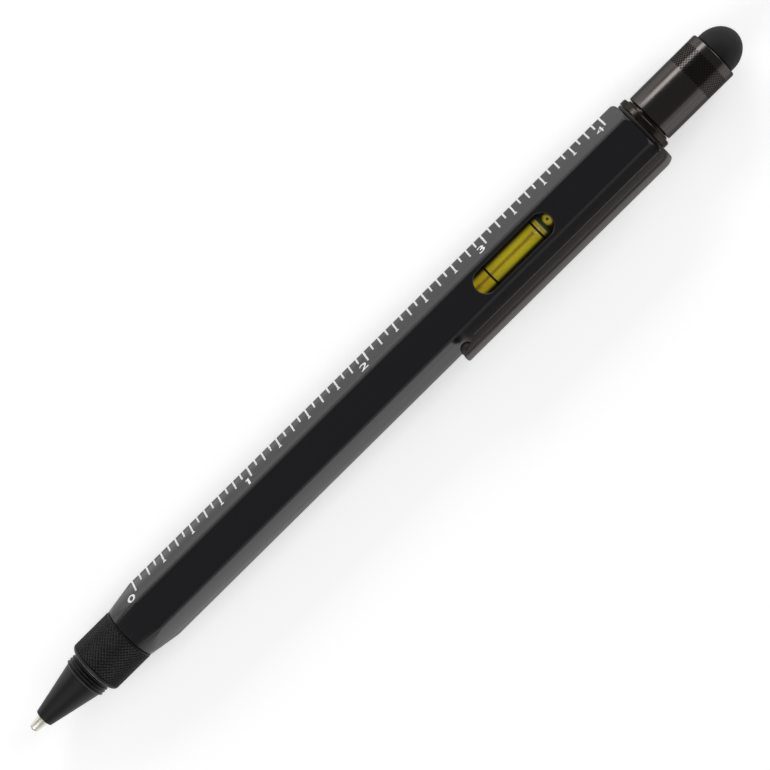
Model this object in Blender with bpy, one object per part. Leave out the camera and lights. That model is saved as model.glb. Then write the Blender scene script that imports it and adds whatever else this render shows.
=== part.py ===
"""Multi tool pen: a hexagonal ballpoint pen with a spirit level, a clip, and a driver bit under its cap.

The pen lies along X with its writing tip towards -X, and rests on one flat of its barrel. +Z is up through
the flat that holds the level. The origin is on the resting flat, below the middle of the barrel.

Stations are distances along the pen's axis from the front face of the barrel, positive towards the stylus.
Turned pieces are drawn as outlines of (distance along the piece, radius).
"""

import math

import bmesh
import bpy

MM = 0.001

# Clearances
SEAT_GAP = 0.1 * MM
RUNNING_GAP = 0.15 * MM
FIT_GAP = 0.1 * MM
SLIDE_GAP = 0.15 * MM
PIN_FIT = 0.02 * MM
SLOT_SIDE_GAP = 0.13 * MM
SLEEVE_PLAY = 0.25 * MM
REFILL_FIT = 0.05 * MM
VIAL_FIT = 0.05 * MM
END_MARGIN = 1.0 * MM

# Refill, its tip and its ball
REFILL_LENGTH = 67.0 * MM
REFILL_RADIUS = 1.175 * MM
REFILL_WALL = 0.225 * MM
TIP_LENGTH = 7.8 * MM
TIP_CONE = 3.4 * MM
TIP_LIP_WALL = 0.16 * MM
TIP_NOSE_STEP = 0.14 * MM
TIP_NOSE_LENGTH = 0.32 * MM
TIP_SPIGOT = 3.0 * MM
BALL_RADIUS = 0.5 * MM
BALL_SHOW = 0.25 * MM
BALL_PLAY = 0.03 * MM
INK_DUCT_RADIUS = 0.2 * MM
INK_PLAY = 0.05 * MM
INK_FILL_SHARE = 0.82

# Carrier, pin, guide tube and helical sleeve, which turn the twist into a slide
CARRIER_LEAD = 3.0 * MM
CARRIER_WALL = 0.425 * MM
CARRIER_END_WALL = 1.5 * MM
CARRIER_VENT_RADIUS = 0.4 * MM
PIN_RADIUS = 0.4 * MM
PIN_SETBACK = 1.95 * MM
TRAVEL = 4.0 * MM
TWIST_ANGLE = math.radians(180)
GUIDE_LEAD = 2.0 * MM
GUIDE_WALL = 0.55 * MM
GUIDE_FLANGE_LENGTH = 3.5 * MM
SLEEVE_WALL = 0.5 * MM
SLEEVE_FLANGE_LENGTH = 2.2 * MM
O_RING_RADIUS = 0.32 * MM
BUSHING_WALL = 0.45 * MM
BUSHING_LENGTH = 8.2 * MM

# Barrel: a hexagonal bar, turned down at both ends and drilled from both ends
BARREL_WALL = 1.15 * MM
BARREL_CORNER = 0.6 * MM
BARREL_TAPER = 5.3 * MM
BARREL_END_ROUND = 0.9 * MM
REFILL_BAY_PLAY = 0.45 * MM
REAR_BAY_LENGTH = 12.0 * MM
WEB_LENGTH = 19.2 * MM
WINDOW_LENGTH = 15.8 * MM

# Twisting front: knurled ring, and nose cone with its threaded band
TWIST_RING_INSET = 0.1 * MM
TWIST_RING_LENGTH = 8.05 * MM
TWIST_RING_WALL = 0.9 * MM
TWIST_RING_WEB = 3.35 * MM
TWIST_RING_ROUND = 0.7 * MM
BAND_LENGTH = 2.25 * MM
BAND_RIDGES = 4
RIDGE_DEPTH = 0.3 * MM
CONE_LENGTH = 8.95 * MM
CONE_FRONT_WALL = 0.275 * MM
CONE_EDGE_ROUND = 0.2 * MM
CONE_LAND = 0.7 * MM
CONE_SHANK_WALL = 1.35 * MM
TIP_REACH = 2.6 * MM

# Spirit level
VIAL_FRONT_WALL = 3.15 * MM
VIAL_BORE_RADIUS = 1.95 * MM
VIAL_WALL = 1.15 * MM
FLUID_LENGTH = 15.7 * MM
FLUID_ROUND = 0.7 * MM
MARK_PITCH = 9.9 * MM
MARK_SETBACK = 0.9 * MM
MARK_WIDTH = 0.35 * MM
MARK_DEPTH = 0.25 * MM
SEAL_WIDTH = 0.45 * MM
PLUG_NOSE_STEP = 0.7 * MM
PLUG_REACH = 6.5 * MM
PLUG_HEAD_LENGTH = 1.5 * MM
BUBBLE_RADIUS = 0.5 * MM
BUBBLE_HALF_LENGTH = 0.9 * MM
BUBBLE_COVER = 0.15 * MM
BUBBLE_STOP = 2.7 * MM

# Driver end: bit, magnet, socket and collar
BIT_FLATS = 4.0 * MM
BIT_PLAY = 0.15 * MM
BIT_LENGTH = 22.9 * MM
BIT_END_LENGTH = 5.0 * MM
BIT_END_STEP = 0.5 * MM
BLADE_LENGTH = 3.2 * MM
BLADE_THICKNESS = 0.6 * MM
CROSS_LENGTH = 2.4 * MM
CROSS_WIDTH = 0.7 * MM
CROSS_TIP_RADIUS = 0.45 * MM
MAGNET_FIT = 0.125 * MM
MAGNET_LENGTH = 1.0 * MM
SOCKET_WALL = 0.6 * MM
SOCKET_FLOOR = 0.9 * MM
COLLAR_WALL = 0.5 * MM
COLLAR_LENGTH = 1.1 * MM
COLLAR_LEDGE = 0.75 * MM
COLLAR_ROUND = 0.3 * MM
NECK_LENGTH = 0.3 * MM
NECK_STEP = 0.55 * MM
NIPPLE_LENGTH = 2.75 * MM
NIPPLE_WALL = 0.4 * MM

# Stylus cap
CAP_WALL = 0.69 * MM
CAP_EDGE = 0.25 * MM
CAP_MOUTH_MARGIN = 0.65 * MM
CAP_BORE_STEP = 0.6 * MM
CAP_HEADROOM = 1.0 * MM
CAP_END_WALL = 1.8 * MM
DOME_INSET = 0.635 * MM
DOME_LENGTH = 4.7 * MM
DOME_WALL = 1.0 * MM
DOME_SKIRT = 0.5 * MM
DOME_WEB = 0.8 * MM
CORE_STEM_RADIUS = 1.45 * MM
CORE_HEAD_PLAY = 0.25 * MM
CORE_HEAD_LENGTH = 1.2 * MM

# Clip: one folded strip whose eyelet is clamped under the collar
CLIP_TURN = math.radians(60)
CLIP_LENGTH = 43.65 * MM
CLIP_WIDTH = 2.4 * MM
CLIP_DEPTH = 1.73 * MM
CLIP_SHEET = 0.45 * MM
CLIP_STAND_OFF = 1.04 * MM
CLIP_SHOULDER_RUN = 1.6 * MM
CLIP_SHOULDER_DROP = 0.9 * MM
CLIP_WALL_START = 0.9 * MM
CLIP_WALL_SLOPE = 2.4 * MM
CLIP_TIP_ROUND = 0.5 * MM
CLIP_TIP_FLAT = 0.6 * MM
CLIP_END_CORNER = 0.3 * MM
CLIP_BALL_GAP = 0.3 * MM
CLIP_BALL_SINK = 0.28 * MM
EYELET_WIDTH = 0.95 * MM
STUB_RELIEF = 0.1 * MM
STUB_INSET = 0.05 * MM

# Fineness and helpers of the drawing
HEXAGON_SIDES = 6
SIDES = 24
FINE_SIDES = 32
SMALL_SIDES = 16
CORNER_STEPS = 3
ARC_STEPS = 4
HELIX_STEPS = 24
OVERRUN = 1.0 * MM
MERGE = 0.0001 * MM
SHARP_ANGLE = math.radians(35)
HEXAGON_REACH_SHARE = 1 / math.cos(math.pi / HEXAGON_SIDES)

# Radii of the refill and its mechanism, each outside the one before
REFILL_INNER = REFILL_RADIUS - REFILL_WALL
CARRIER_INNER = REFILL_RADIUS + REFILL_FIT
CARRIER_RADIUS = CARRIER_INNER + CARRIER_WALL
GUIDE_INNER = CARRIER_RADIUS + SLIDE_GAP
GUIDE_RADIUS = GUIDE_INNER + GUIDE_WALL
SLEEVE_INNER = GUIDE_RADIUS + SLEEVE_PLAY
SLEEVE_RADIUS = SLEEVE_INNER + SLEEVE_WALL
BUSHING_INNER = SLEEVE_RADIUS + FIT_GAP
BUSHING_OUTER = BUSHING_INNER + BUSHING_WALL
FRONT_BAY_RADIUS = BUSHING_OUTER + FIT_GAP / 2
SLEEVE_FLANGE_RADIUS = FRONT_BAY_RADIUS - RUNNING_GAP
REFILL_BAY_RADIUS = CARRIER_RADIUS + REFILL_BAY_PLAY

# Barrel, ring and cone round them
BARREL_FLATS = 2 * (FRONT_BAY_RADIUS + BARREL_WALL)
CORNER_REACH = (BARREL_FLATS / 2 - BARREL_CORNER) * HEXAGON_REACH_SHARE + BARREL_CORNER
TWIST_RING_RADIUS = BARREL_FLATS / 2 - TWIST_RING_INSET
TWIST_RING_BORE = TWIST_RING_RADIUS - TWIST_RING_WALL
BAND_RADIUS = TWIST_RING_BORE - FIT_GAP
BAND_ROOT_RADIUS = BAND_RADIUS - RIDGE_DEPTH
CONE_BORE = REFILL_RADIUS + SLIDE_GAP
CONE_FRONT_RADIUS = CONE_BORE + CONE_FRONT_WALL

# Radii of the level
VIAL_RADIUS = VIAL_BORE_RADIUS + VIAL_WALL
VIAL_BAY_RADIUS = VIAL_RADIUS + FIT_GAP
FLUID_RADIUS = VIAL_BORE_RADIUS - VIAL_FIT
MARK_INNER = FLUID_RADIUS - MARK_DEPTH
PLUG_NOSE_RADIUS = FLUID_RADIUS - PLUG_NOSE_STEP
CHANNEL_RADIUS = BUBBLE_RADIUS + FIT_GAP
BUBBLE_HEIGHT = MARK_INNER - VIAL_FIT - BUBBLE_COVER - CHANNEL_RADIUS
WINDOW_WIDTH = 2 * VIAL_BORE_RADIUS

# Radii of the driver end, from the bit outwards
BIT_REACH = BIT_FLATS / 2 * HEXAGON_REACH_SHARE
BIT_END_RADIUS = BIT_FLATS / 2 - BIT_END_STEP
SOCKET_FLATS = BIT_FLATS + BIT_PLAY
SOCKET_RADIUS = SOCKET_FLATS / 2 * HEXAGON_REACH_SHARE + SOCKET_WALL
MAGNET_RADIUS = SOCKET_FLATS / 2 - MAGNET_FIT
COLLAR_BORE = SOCKET_RADIUS + FIT_GAP
COLLAR_SHANK_RADIUS = COLLAR_BORE + COLLAR_WALL
REAR_BAY_RADIUS = COLLAR_SHANK_RADIUS + FIT_GAP
NIPPLE_RADIUS = COLLAR_BORE + NIPPLE_WALL
NECK_RADIUS = NIPPLE_RADIUS + NECK_STEP
COLLAR_RADIUS = NECK_RADIUS + COLLAR_LEDGE
CAP_MOUTH_RADIUS = NIPPLE_RADIUS + FIT_GAP
CAP_BORE_RADIUS = CAP_MOUTH_RADIUS - CAP_BORE_STEP
CAP_RADIUS = CAP_MOUTH_RADIUS + CAP_WALL
DOME_RADIUS = CAP_RADIUS - DOME_INSET
DOME_INNER = DOME_RADIUS - DOME_WALL
CORE_HEAD_RADIUS = DOME_INNER - CORE_HEAD_PLAY
STEM_HOLE_RADIUS = CORE_STEM_RADIUS + FIT_GAP / 2

# Heights of the clip over the pen's axis, then over its hinge
EYELET_BORE = COLLAR_SHANK_RADIUS + FIT_GAP
EYELET_RADIUS = EYELET_BORE + EYELET_WIDTH
STUB_HEIGHT = max(BARREL_FLATS / 2, EYELET_RADIUS) + FIT_GAP
HINGE_HEIGHT = STUB_HEIGHT + FIT_GAP
CLIP_WALL_EDGE = BARREL_FLATS / 2 + CLIP_STAND_OFF - HINGE_HEIGHT
CLIP_TOP = CLIP_WALL_EDGE + CLIP_DEPTH
CLIP_BALL_RADIUS = (CLIP_STAND_OFF + CLIP_DEPTH - CLIP_SHEET + CLIP_BALL_SINK - CLIP_BALL_GAP) / 2
CLIP_BALL_HEIGHT = BARREL_FLATS / 2 + CLIP_BALL_GAP + CLIP_BALL_RADIUS - HINGE_HEIGHT

# Stations of the nose, from the barrel's front face towards the tip
RING_REAR = -RUNNING_GAP
RING_FRONT = RING_REAR - TWIST_RING_LENGTH
BAND_FRONT = RING_FRONT - BAND_LENGTH
CONE_FRONT = BAND_FRONT - CONE_LENGTH
TIP_END = CONE_FRONT - TIP_REACH

# Stations of the mechanism in the front of the barrel
BUSHING_FRONT = SEAT_GAP
BUSHING_REAR = BUSHING_FRONT + BUSHING_LENGTH
SLEEVE_FRONT = RING_REAR - TWIST_RING_WEB
FLANGE_FRONT = BUSHING_REAR + RUNNING_GAP
FLANGE_REAR = FLANGE_FRONT + SLEEVE_FLANGE_LENGTH
PIN_STATION = FLANGE_REAR + PIN_SETBACK
SLEEVE_REAR = PIN_STATION + TRAVEL + PIN_SETBACK
GUIDE_FLANGE_FRONT = SLEEVE_REAR + 2 * RUNNING_GAP
GUIDE_REAR = GUIDE_FLANGE_FRONT + GUIDE_FLANGE_LENGTH
FRONT_BAY_END = GUIDE_REAR + SEAT_GAP
REFILL_REAR = TIP_END + REFILL_LENGTH
CARRIER_REAR = REFILL_REAR + SEAT_GAP + CARRIER_END_WALL
REFILL_BAY_END = CARRIER_REAR + TRAVEL + END_MARGIN

# Stations of the level
VIAL_BAY_FRONT = REFILL_BAY_END + WEB_LENGTH
VIAL_FRONT = VIAL_BAY_FRONT + SEAT_GAP
FLUID_FRONT = VIAL_FRONT + VIAL_FRONT_WALL
FLUID_REAR = FLUID_FRONT + FLUID_LENGTH
REAR_MARK = FLUID_REAR - MARK_SETBACK
FRONT_MARK = REAR_MARK - MARK_PITCH
WINDOW_CENTRE = (FRONT_MARK + REAR_MARK) / 2
BUBBLE_STATION = FLUID_REAR - SEAT_GAP - BUBBLE_HALF_LENGTH
PLUG_NOSE_FRONT = FLUID_REAR + SEAT_GAP
PLUG_BODY_FRONT = PLUG_NOSE_FRONT + SEAL_WIDTH + SEAT_GAP
VIAL_REAR = PLUG_BODY_FRONT + PLUG_REACH
PLUG_HEAD_FRONT = VIAL_REAR + SEAT_GAP
VIAL_BAY_REAR = PLUG_HEAD_FRONT + PLUG_HEAD_LENGTH + SEAT_GAP

# Stations of the driver end and the cap
BARREL_LENGTH = VIAL_BAY_REAR + REAR_BAY_LENGTH
SHANK_FRONT = VIAL_BAY_REAR + SEAT_GAP
EYELET_FRONT = BARREL_LENGTH + SEAT_GAP
EYELET_REAR = EYELET_FRONT + CLIP_SHEET
COLLAR_FRONT = EYELET_REAR + SEAT_GAP
COLLAR_REAR = COLLAR_FRONT + COLLAR_LENGTH
NECK_REAR = COLLAR_REAR + NECK_LENGTH
NIPPLE_REAR = NECK_REAR + NIPPLE_LENGTH
SOCKET_FRONT = SHANK_FRONT + SEAT_GAP
MAGNET_FRONT = SOCKET_FRONT + SOCKET_FLOOR + SEAT_GAP
BIT_FRONT = MAGNET_FRONT + MAGNET_LENGTH + SEAT_GAP
CAP_FRONT = NECK_REAR + RUNNING_GAP
CAP_FLOOR = max(BIT_FRONT + BIT_LENGTH, NIPPLE_REAR) + CAP_HEADROOM
CAP_REAR = CAP_FLOOR + CAP_END_WALL
DOME_FRONT = CAP_REAR + SEAT_GAP / 2


def clear_scene():
    for obj in list(bpy.data.objects):
        bpy.data.objects.remove(obj)


def finish(name, colour, roughness, metallic=0.0):
    """A plain Principled material."""
    material = bpy.data.materials.new(name)
    material.use_nodes = True
    shader = material.node_tree.nodes["Principled BSDF"]
    shader.inputs["Base Color"].default_value = (*colour, 1.0)
    shader.inputs["Roughness"].default_value = roughness
    shader.inputs["Metallic"].default_value = metallic
    material.diffuse_color = (*colour, 1.0)
    return material


def empty(name, location, parent=None, turn=0.0):
    """A frame for the pieces that share an axis."""
    frame = bpy.data.objects.new(name, None)
    bpy.context.scene.collection.objects.link(frame)
    frame.parent = parent
    frame.location = location
    frame.rotation_euler = (turn, 0, 0)
    return frame


def place(name, bm, material, frame, location):
    """Turns a bmesh into a smooth object that hangs in a frame."""
    bmesh.ops.recalc_face_normals(bm, faces=bm.faces)
    mesh = bpy.data.meshes.new(name)
    bm.to_mesh(mesh)
    bm.free()
    mesh.shade_smooth()
    mesh.set_sharp_from_angle(angle=SHARP_ANGLE)
    obj = bpy.data.objects.new(name, mesh)
    bpy.context.scene.collection.objects.link(obj)
    if material:
        mesh.materials.append(material)
    obj.parent = frame
    obj.location = location
    return obj


def world_x(station):
    """The X of a station, with the origin below the middle of the barrel."""
    return station - BARREL_LENGTH / 2


def turned(name, outline, material, frame, station, sides=SIDES, height=0.0):
    """A piece turned about the pen's axis. An outline that starts on the axis also ends on it."""
    bm = bmesh.new()
    points = [bm.verts.new((x, 0, radius)) for x, radius in outline]
    edges = [bm.edges.new(pair) for pair in zip(points, points[1:])]
    if outline[0][1] > 0:
        edges.append(bm.edges.new((points[-1], points[0])))
    bmesh.ops.spin(
        bm,
        geom=points + edges,
        cent=(0, 0, 0),
        axis=(1, 0, 0),
        angle=math.tau,
        steps=sides,
        use_merge=True,
    )
    bmesh.ops.remove_doubles(bm, verts=bm.verts, dist=MERGE)
    return place(name, bm, material, frame, (world_x(station), 0, height))


def rod(name, length, radius, material, frame, station, sides=SIDES, height=0.0):
    """A plain turned rod."""
    outline = [(0, 0), (0, radius), (length, radius), (length, 0)]
    return turned(name, outline, material, frame, station, sides, height)


def tube(name, length, inner, outer, material, frame, station, sides=SIDES):
    """A plain turned tube."""
    outline = [(0, inner), (0, outer), (length, outer), (length, inner)]
    return turned(name, outline, material, frame, station, sides)


def extruded(name, outline, sweep, material, frame, location):
    """A flat outline of 3-D points, pushed along the sweep."""
    bm = bmesh.new()
    face = bm.faces.new([bm.verts.new(point) for point in outline])
    grown = bmesh.ops.extrude_face_region(bm, geom=[face])
    moved = [item for item in grown["geom"] if isinstance(item, bmesh.types.BMVert)]
    bmesh.ops.translate(bm, verts=moved, vec=sweep)
    return place(name, bm, material, frame, location)


def block(name, xs, ys, zs, frame, station, turn=0.0):
    """A box tool between two values on each axis, from a station, turned about the pen's axis."""
    near, far = xs
    outline = [(near, ys[0], zs[0]), (near, ys[1], zs[0]), (near, ys[1], zs[1]), (near, ys[0], zs[1])]
    tool = extruded(name, outline, (far - near, 0, 0), None, frame, (world_x(station), 0, 0))
    tool.rotation_euler = (turn, 0, 0)
    return tool


def combine(target, tool, operation="DIFFERENCE"):
    """Cuts, joins or intersects the target with a tool that is left out of the part."""
    tool.hide_render = True
    tool.display_type = "WIRE"
    modifier = target.modifiers.new(tool.name, "BOOLEAN")
    modifier.operation = operation
    modifier.solver = "EXACT"
    modifier.object = tool


def hexagon(flats, corner=0.0, x=0.0):
    """Points of a hexagon across the pen's axis, flat side up, with rounded corners where corner is set."""
    reach = (flats / 2 - corner) * HEXAGON_REACH_SHARE
    steps = CORNER_STEPS if corner else 0
    one_side = math.tau / HEXAGON_SIDES
    points = []
    for side in range(HEXAGON_SIDES):
        middle = one_side * side
        for step in range(steps + 1):
            around = middle + one_side * (step / steps - 0.5) if steps else middle
            y = reach * math.cos(middle) + corner * math.cos(around)
            z = reach * math.sin(middle) + corner * math.sin(around)
            points.append((x, y, z))
    return points


def obround(length, width):
    """Points of a slot outline in the level plane through the axis, with full round ends."""
    radius = width / 2
    half_turn_steps = SMALL_SIDES // 2
    points = []
    for end in (1, -1):
        for step in range(half_turn_steps + 1):
            around = math.pi * (step / half_turn_steps - 0.5)
            x = end * (length / 2 - radius + radius * math.cos(around))
            points.append((x, end * radius * math.sin(around), 0))
    return points


def quarter(x, radius, run, rise, start, steps=ARC_STEPS):
    """Points of a quarter ellipse about (x, radius), from the start angle, counted in quarter turns."""
    points = []
    for step in range(steps + 1):
        angle = math.pi / 2 * (start + step / steps)
        points.append((x + run * math.cos(angle), radius + rise * math.sin(angle)))
    return points


def egg(half_length, radius):
    """Outline of a ball or an ellipsoid, centred at zero, from its front point to its rear point."""
    steps = SMALL_SIDES // 2
    outline = [(-half_length, 0.0)]
    for step in range(1, steps):
        angle = math.pi * step / steps
        outline.append((-half_length * math.cos(angle), radius * math.sin(angle)))
    outline.append((half_length, 0.0))
    return outline


def make_finishes():
    """The finishes as the photograph shows them."""
    return {
        "black": finish("satin_black", (0.018, 0.018, 0.022), 0.42),
        "gunmetal": finish("gunmetal", (0.09, 0.08, 0.078), 0.3, 1.0),
        "steel": finish("steel", (0.6, 0.6, 0.6), 0.3, 1.0),
        "brass": finish("brass", (0.72, 0.55, 0.25), 0.35, 1.0),
        "nickel": finish("nickel_silver", (0.7, 0.68, 0.6), 0.28, 1.0),
        "rubber": finish("black_rubber", (0.02, 0.02, 0.022), 0.8),
        "plastic": finish("white_plastic", (0.75, 0.75, 0.73), 0.5),
        "clear": finish("clear_acrylic", (0.85, 0.87, 0.8), 0.1),
        "fluid": finish("yellow_fluid", (0.55, 0.48, 0.02), 0.15),
        "green": finish("green_rubber", (0.02, 0.18, 0.06), 0.5),
        "ink": finish("ink", (0.01, 0.01, 0.03), 0.4),
        "air": finish("air_bubble", (0.8, 0.82, 0.6), 0.1),
    }


def barrel_turning(axis):
    """The turned envelope of the barrel: a taper at the front and a round at the rear."""
    clear_radius = CORNER_REACH + OVERRUN
    round_start = BARREL_LENGTH - BARREL_END_ROUND
    end_arc = quarter(round_start, CORNER_REACH - BARREL_END_ROUND, BARREL_END_ROUND, BARREL_END_ROUND, 0)
    outline = [
        (0, 0),
        (0, TWIST_RING_RADIUS),
        (BARREL_TAPER, CORNER_REACH),
        (BARREL_TAPER, clear_radius),
        (round_start, clear_radius),
        *reversed(end_arc),
        (BARREL_LENGTH, 0),
    ]
    return turned("barrel_turning", outline, None, axis, 0, FINE_SIDES)


def barrel_front_drilling(axis):
    """The bay of the twist mechanism, and the narrower bay of the carrier behind it."""
    outline = [
        (-OVERRUN, 0),
        (-OVERRUN, FRONT_BAY_RADIUS),
        (FRONT_BAY_END, FRONT_BAY_RADIUS),
        (FRONT_BAY_END, REFILL_BAY_RADIUS),
        (REFILL_BAY_END, REFILL_BAY_RADIUS),
        (REFILL_BAY_END, 0),
    ]
    return turned("barrel_front_drilling", outline, None, axis, 0)


def barrel_rear_drilling(axis):
    """The bay of the level, and the wider bay of the collar behind it."""
    outline = [
        (VIAL_BAY_FRONT, 0),
        (VIAL_BAY_FRONT, VIAL_BAY_RADIUS),
        (VIAL_BAY_REAR, VIAL_BAY_RADIUS),
        (VIAL_BAY_REAR, REAR_BAY_RADIUS),
        (BARREL_LENGTH + OVERRUN, REAR_BAY_RADIUS),
        (BARREL_LENGTH + OVERRUN, 0),
    ]
    return turned("barrel_rear_drilling", outline, None, axis, 0)


def make_barrel(looks, axis):
    """The hexagonal bar, its turned ends, its drillings and the window over the level."""
    blank = hexagon(BARREL_FLATS, BARREL_CORNER, world_x(-OVERRUN))
    sweep = (BARREL_LENGTH + 2 * OVERRUN, 0, 0)
    barrel = extruded("barrel", blank, sweep, looks["black"], axis, (0, 0, 0))
    combine(barrel, barrel_turning(axis), "INTERSECT")
    combine(barrel, barrel_front_drilling(axis))
    combine(barrel, barrel_rear_drilling(axis))
    window = extruded(
        "barrel_window",
        obround(WINDOW_LENGTH, WINDOW_WIDTH),
        (0, 0, BARREL_FLATS / 2 + OVERRUN),
        None,
        axis,
        (world_x(WINDOW_CENTRE), 0, 0),
    )
    combine(barrel, window)


def make_twist_ring(looks, axis):
    """The ring that the fingers turn, with the web that carries the sleeve."""
    web_bore = SLEEVE_RADIUS + FIT_GAP
    web_front = TWIST_RING_LENGTH - TWIST_RING_WEB
    shoulder = TWIST_RING_RADIUS - TWIST_RING_ROUND
    outline = [
        (0, TWIST_RING_BORE),
        *reversed(quarter(TWIST_RING_ROUND, shoulder, TWIST_RING_ROUND, TWIST_RING_ROUND, 1)),
        (TWIST_RING_LENGTH, TWIST_RING_RADIUS),
        (TWIST_RING_LENGTH, web_bore),
        (web_front, web_bore),
        (web_front, TWIST_RING_BORE),
    ]
    turned("twist_ring", outline, looks["black"], axis, RING_FRONT, FINE_SIDES)


def make_nose_cone(looks, axis):
    """The cone that guides the tip, with its threaded band and the shank that screws into the ring."""
    pitch = BAND_LENGTH / BAND_RIDGES
    ridges = []
    for ridge in range(BAND_RIDGES):
        start = CONE_LENGTH + ridge * pitch
        ridges.append((start, BAND_ROOT_RADIUS))
        ridges.append((start + pitch / 2, BAND_RADIUS))
    band_rear = CONE_LENGTH + BAND_LENGTH
    shank_rear = band_rear + TWIST_RING_LENGTH - TWIST_RING_WEB - 2 * SEAT_GAP
    shank_bore = BAND_ROOT_RADIUS - CONE_SHANK_WALL
    front_edge = CONE_FRONT_RADIUS - CONE_EDGE_ROUND
    outline = [
        (0, CONE_BORE),
        *reversed(quarter(CONE_EDGE_ROUND, front_edge, CONE_EDGE_ROUND, CONE_EDGE_ROUND, 1)),
        *ridges,
        (band_rear, BAND_ROOT_RADIUS),
        (shank_rear, BAND_ROOT_RADIUS),
        (shank_rear, shank_bore),
        (CONE_LENGTH, shank_bore),
        (CONE_LENGTH - CONE_SHANK_WALL, CONE_BORE + SLIDE_GAP),
        (CONE_LAND, CONE_BORE + SLIDE_GAP),
        (CONE_LAND, CONE_BORE),
    ]
    turned("nose_cone", outline, looks["black"], axis, CONE_FRONT, FINE_SIDES)


def helix_tool(axis):
    """The tool that cuts the helical slot: a bar swept round the sleeve, as wide as the pin and its gaps."""
    middle = SLEEVE_RADIUS - SLEEVE_WALL / 2
    half_width = PIN_RADIUS + SLOT_SIDE_GAP
    arc = middle * TWIST_ANGLE
    run = math.hypot(TRAVEL, arc)
    end_share = half_width / run
    low = middle - SLEEVE_WALL
    high = middle + SLEEVE_WALL
    corners = [(-half_width, low), (half_width, low), (half_width, high), (-half_width, high)]
    bm = bmesh.new()
    rows = []
    for step in range(HELIX_STEPS + 1):
        share = (1 + 2 * end_share) * step / HELIX_STEPS - end_share
        row = []
        for aside, radius in corners:
            x = share * TRAVEL + aside * arc / run
            angle = math.pi / 2 + (aside * TRAVEL / run - share * arc) / middle
            row.append(bm.verts.new((x, radius * math.cos(angle), radius * math.sin(angle))))
        rows.append(row)
    for near, far in zip(rows, rows[1:]):
        for corner in range(len(corners)):
            following = (corner + 1) % len(corners)
            bm.faces.new((near[corner], near[following], far[following], far[corner]))
    bm.faces.new(rows[0])
    bm.faces.new(rows[-1])
    return place("helix_tool", bm, None, axis, (world_x(PIN_STATION), 0, 0))


def make_cam_sleeve(looks, axis):
    """The sleeve fixed in the ring: its flange keeps the front in the barrel, its slot drives the pin."""
    length = SLEEVE_REAR - SLEEVE_FRONT
    flange_front = FLANGE_FRONT - SLEEVE_FRONT
    flange_rear = FLANGE_REAR - SLEEVE_FRONT
    groove_middle = (flange_front + flange_rear) / 2
    groove_half = O_RING_RADIUS + FIT_GAP
    ring_middle = FRONT_BAY_RADIUS - FIT_GAP / 2 - O_RING_RADIUS
    groove_floor = ring_middle - O_RING_RADIUS - PIN_FIT
    outline = [
        (0, SLEEVE_INNER),
        (0, SLEEVE_RADIUS),
        (flange_front, SLEEVE_RADIUS),
        (flange_front, SLEEVE_FLANGE_RADIUS),
        (groove_middle - groove_half, SLEEVE_FLANGE_RADIUS),
        (groove_middle - groove_half, groove_floor),
        (groove_middle + groove_half, groove_floor),
        (groove_middle + groove_half, SLEEVE_FLANGE_RADIUS),
        (flange_rear, SLEEVE_FLANGE_RADIUS),
        (flange_rear, SLEEVE_RADIUS),
        (length, SLEEVE_RADIUS),
        (length, SLEEVE_INNER),
    ]
    sleeve = turned("cam_sleeve", outline, looks["brass"], axis, SLEEVE_FRONT)
    combine(sleeve, helix_tool(axis))

    section = []
    section_steps = SMALL_SIDES // 2
    for step in range(section_steps):
        angle = math.tau * step / section_steps
        section.append((O_RING_RADIUS * math.cos(angle), ring_middle + O_RING_RADIUS * math.sin(angle)))
    turned("twist_o_ring", section, looks["rubber"], axis, SLEEVE_FRONT + groove_middle)


def make_guide(looks, axis):
    """The bush in the barrel's mouth and the fixed tube with the straight slot."""
    brass = looks["brass"]
    tube("front_bushing", BUSHING_LENGTH, BUSHING_INNER, BUSHING_OUTER, brass, axis, BUSHING_FRONT)
    length = GUIDE_REAR - GUIDE_LEAD
    flange_front = GUIDE_FLANGE_FRONT - GUIDE_LEAD
    outline = [
        (0, GUIDE_INNER),
        (0, GUIDE_RADIUS),
        (flange_front, GUIDE_RADIUS),
        (flange_front, BUSHING_OUTER),
        (length, BUSHING_OUTER),
        (length, GUIDE_INNER),
    ]
    guide = turned("guide_tube", outline, brass, axis, GUIDE_LEAD)
    slot_width = 2 * (PIN_RADIUS + SLOT_SIDE_GAP)
    slot = extruded(
        "guide_slot",
        obround(TRAVEL + slot_width, slot_width),
        (0, 0, GUIDE_RADIUS + OVERRUN),
        None,
        axis,
        (world_x(PIN_STATION + TRAVEL / 2), 0, 0),
    )
    combine(guide, slot)


def upright_pin(name, radius, length, material, axis, height):
    """A round pin that stands across the pen's axis at the follower's station."""
    bm = bmesh.new()
    bmesh.ops.create_cone(
        bm, cap_ends=True, segments=SMALL_SIDES, radius1=radius, radius2=radius, depth=length
    )
    bmesh.ops.translate(bm, verts=bm.verts, vec=(0, 0, length / 2))
    return place(name, bm, material, axis, (world_x(PIN_STATION), 0, height))


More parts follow.
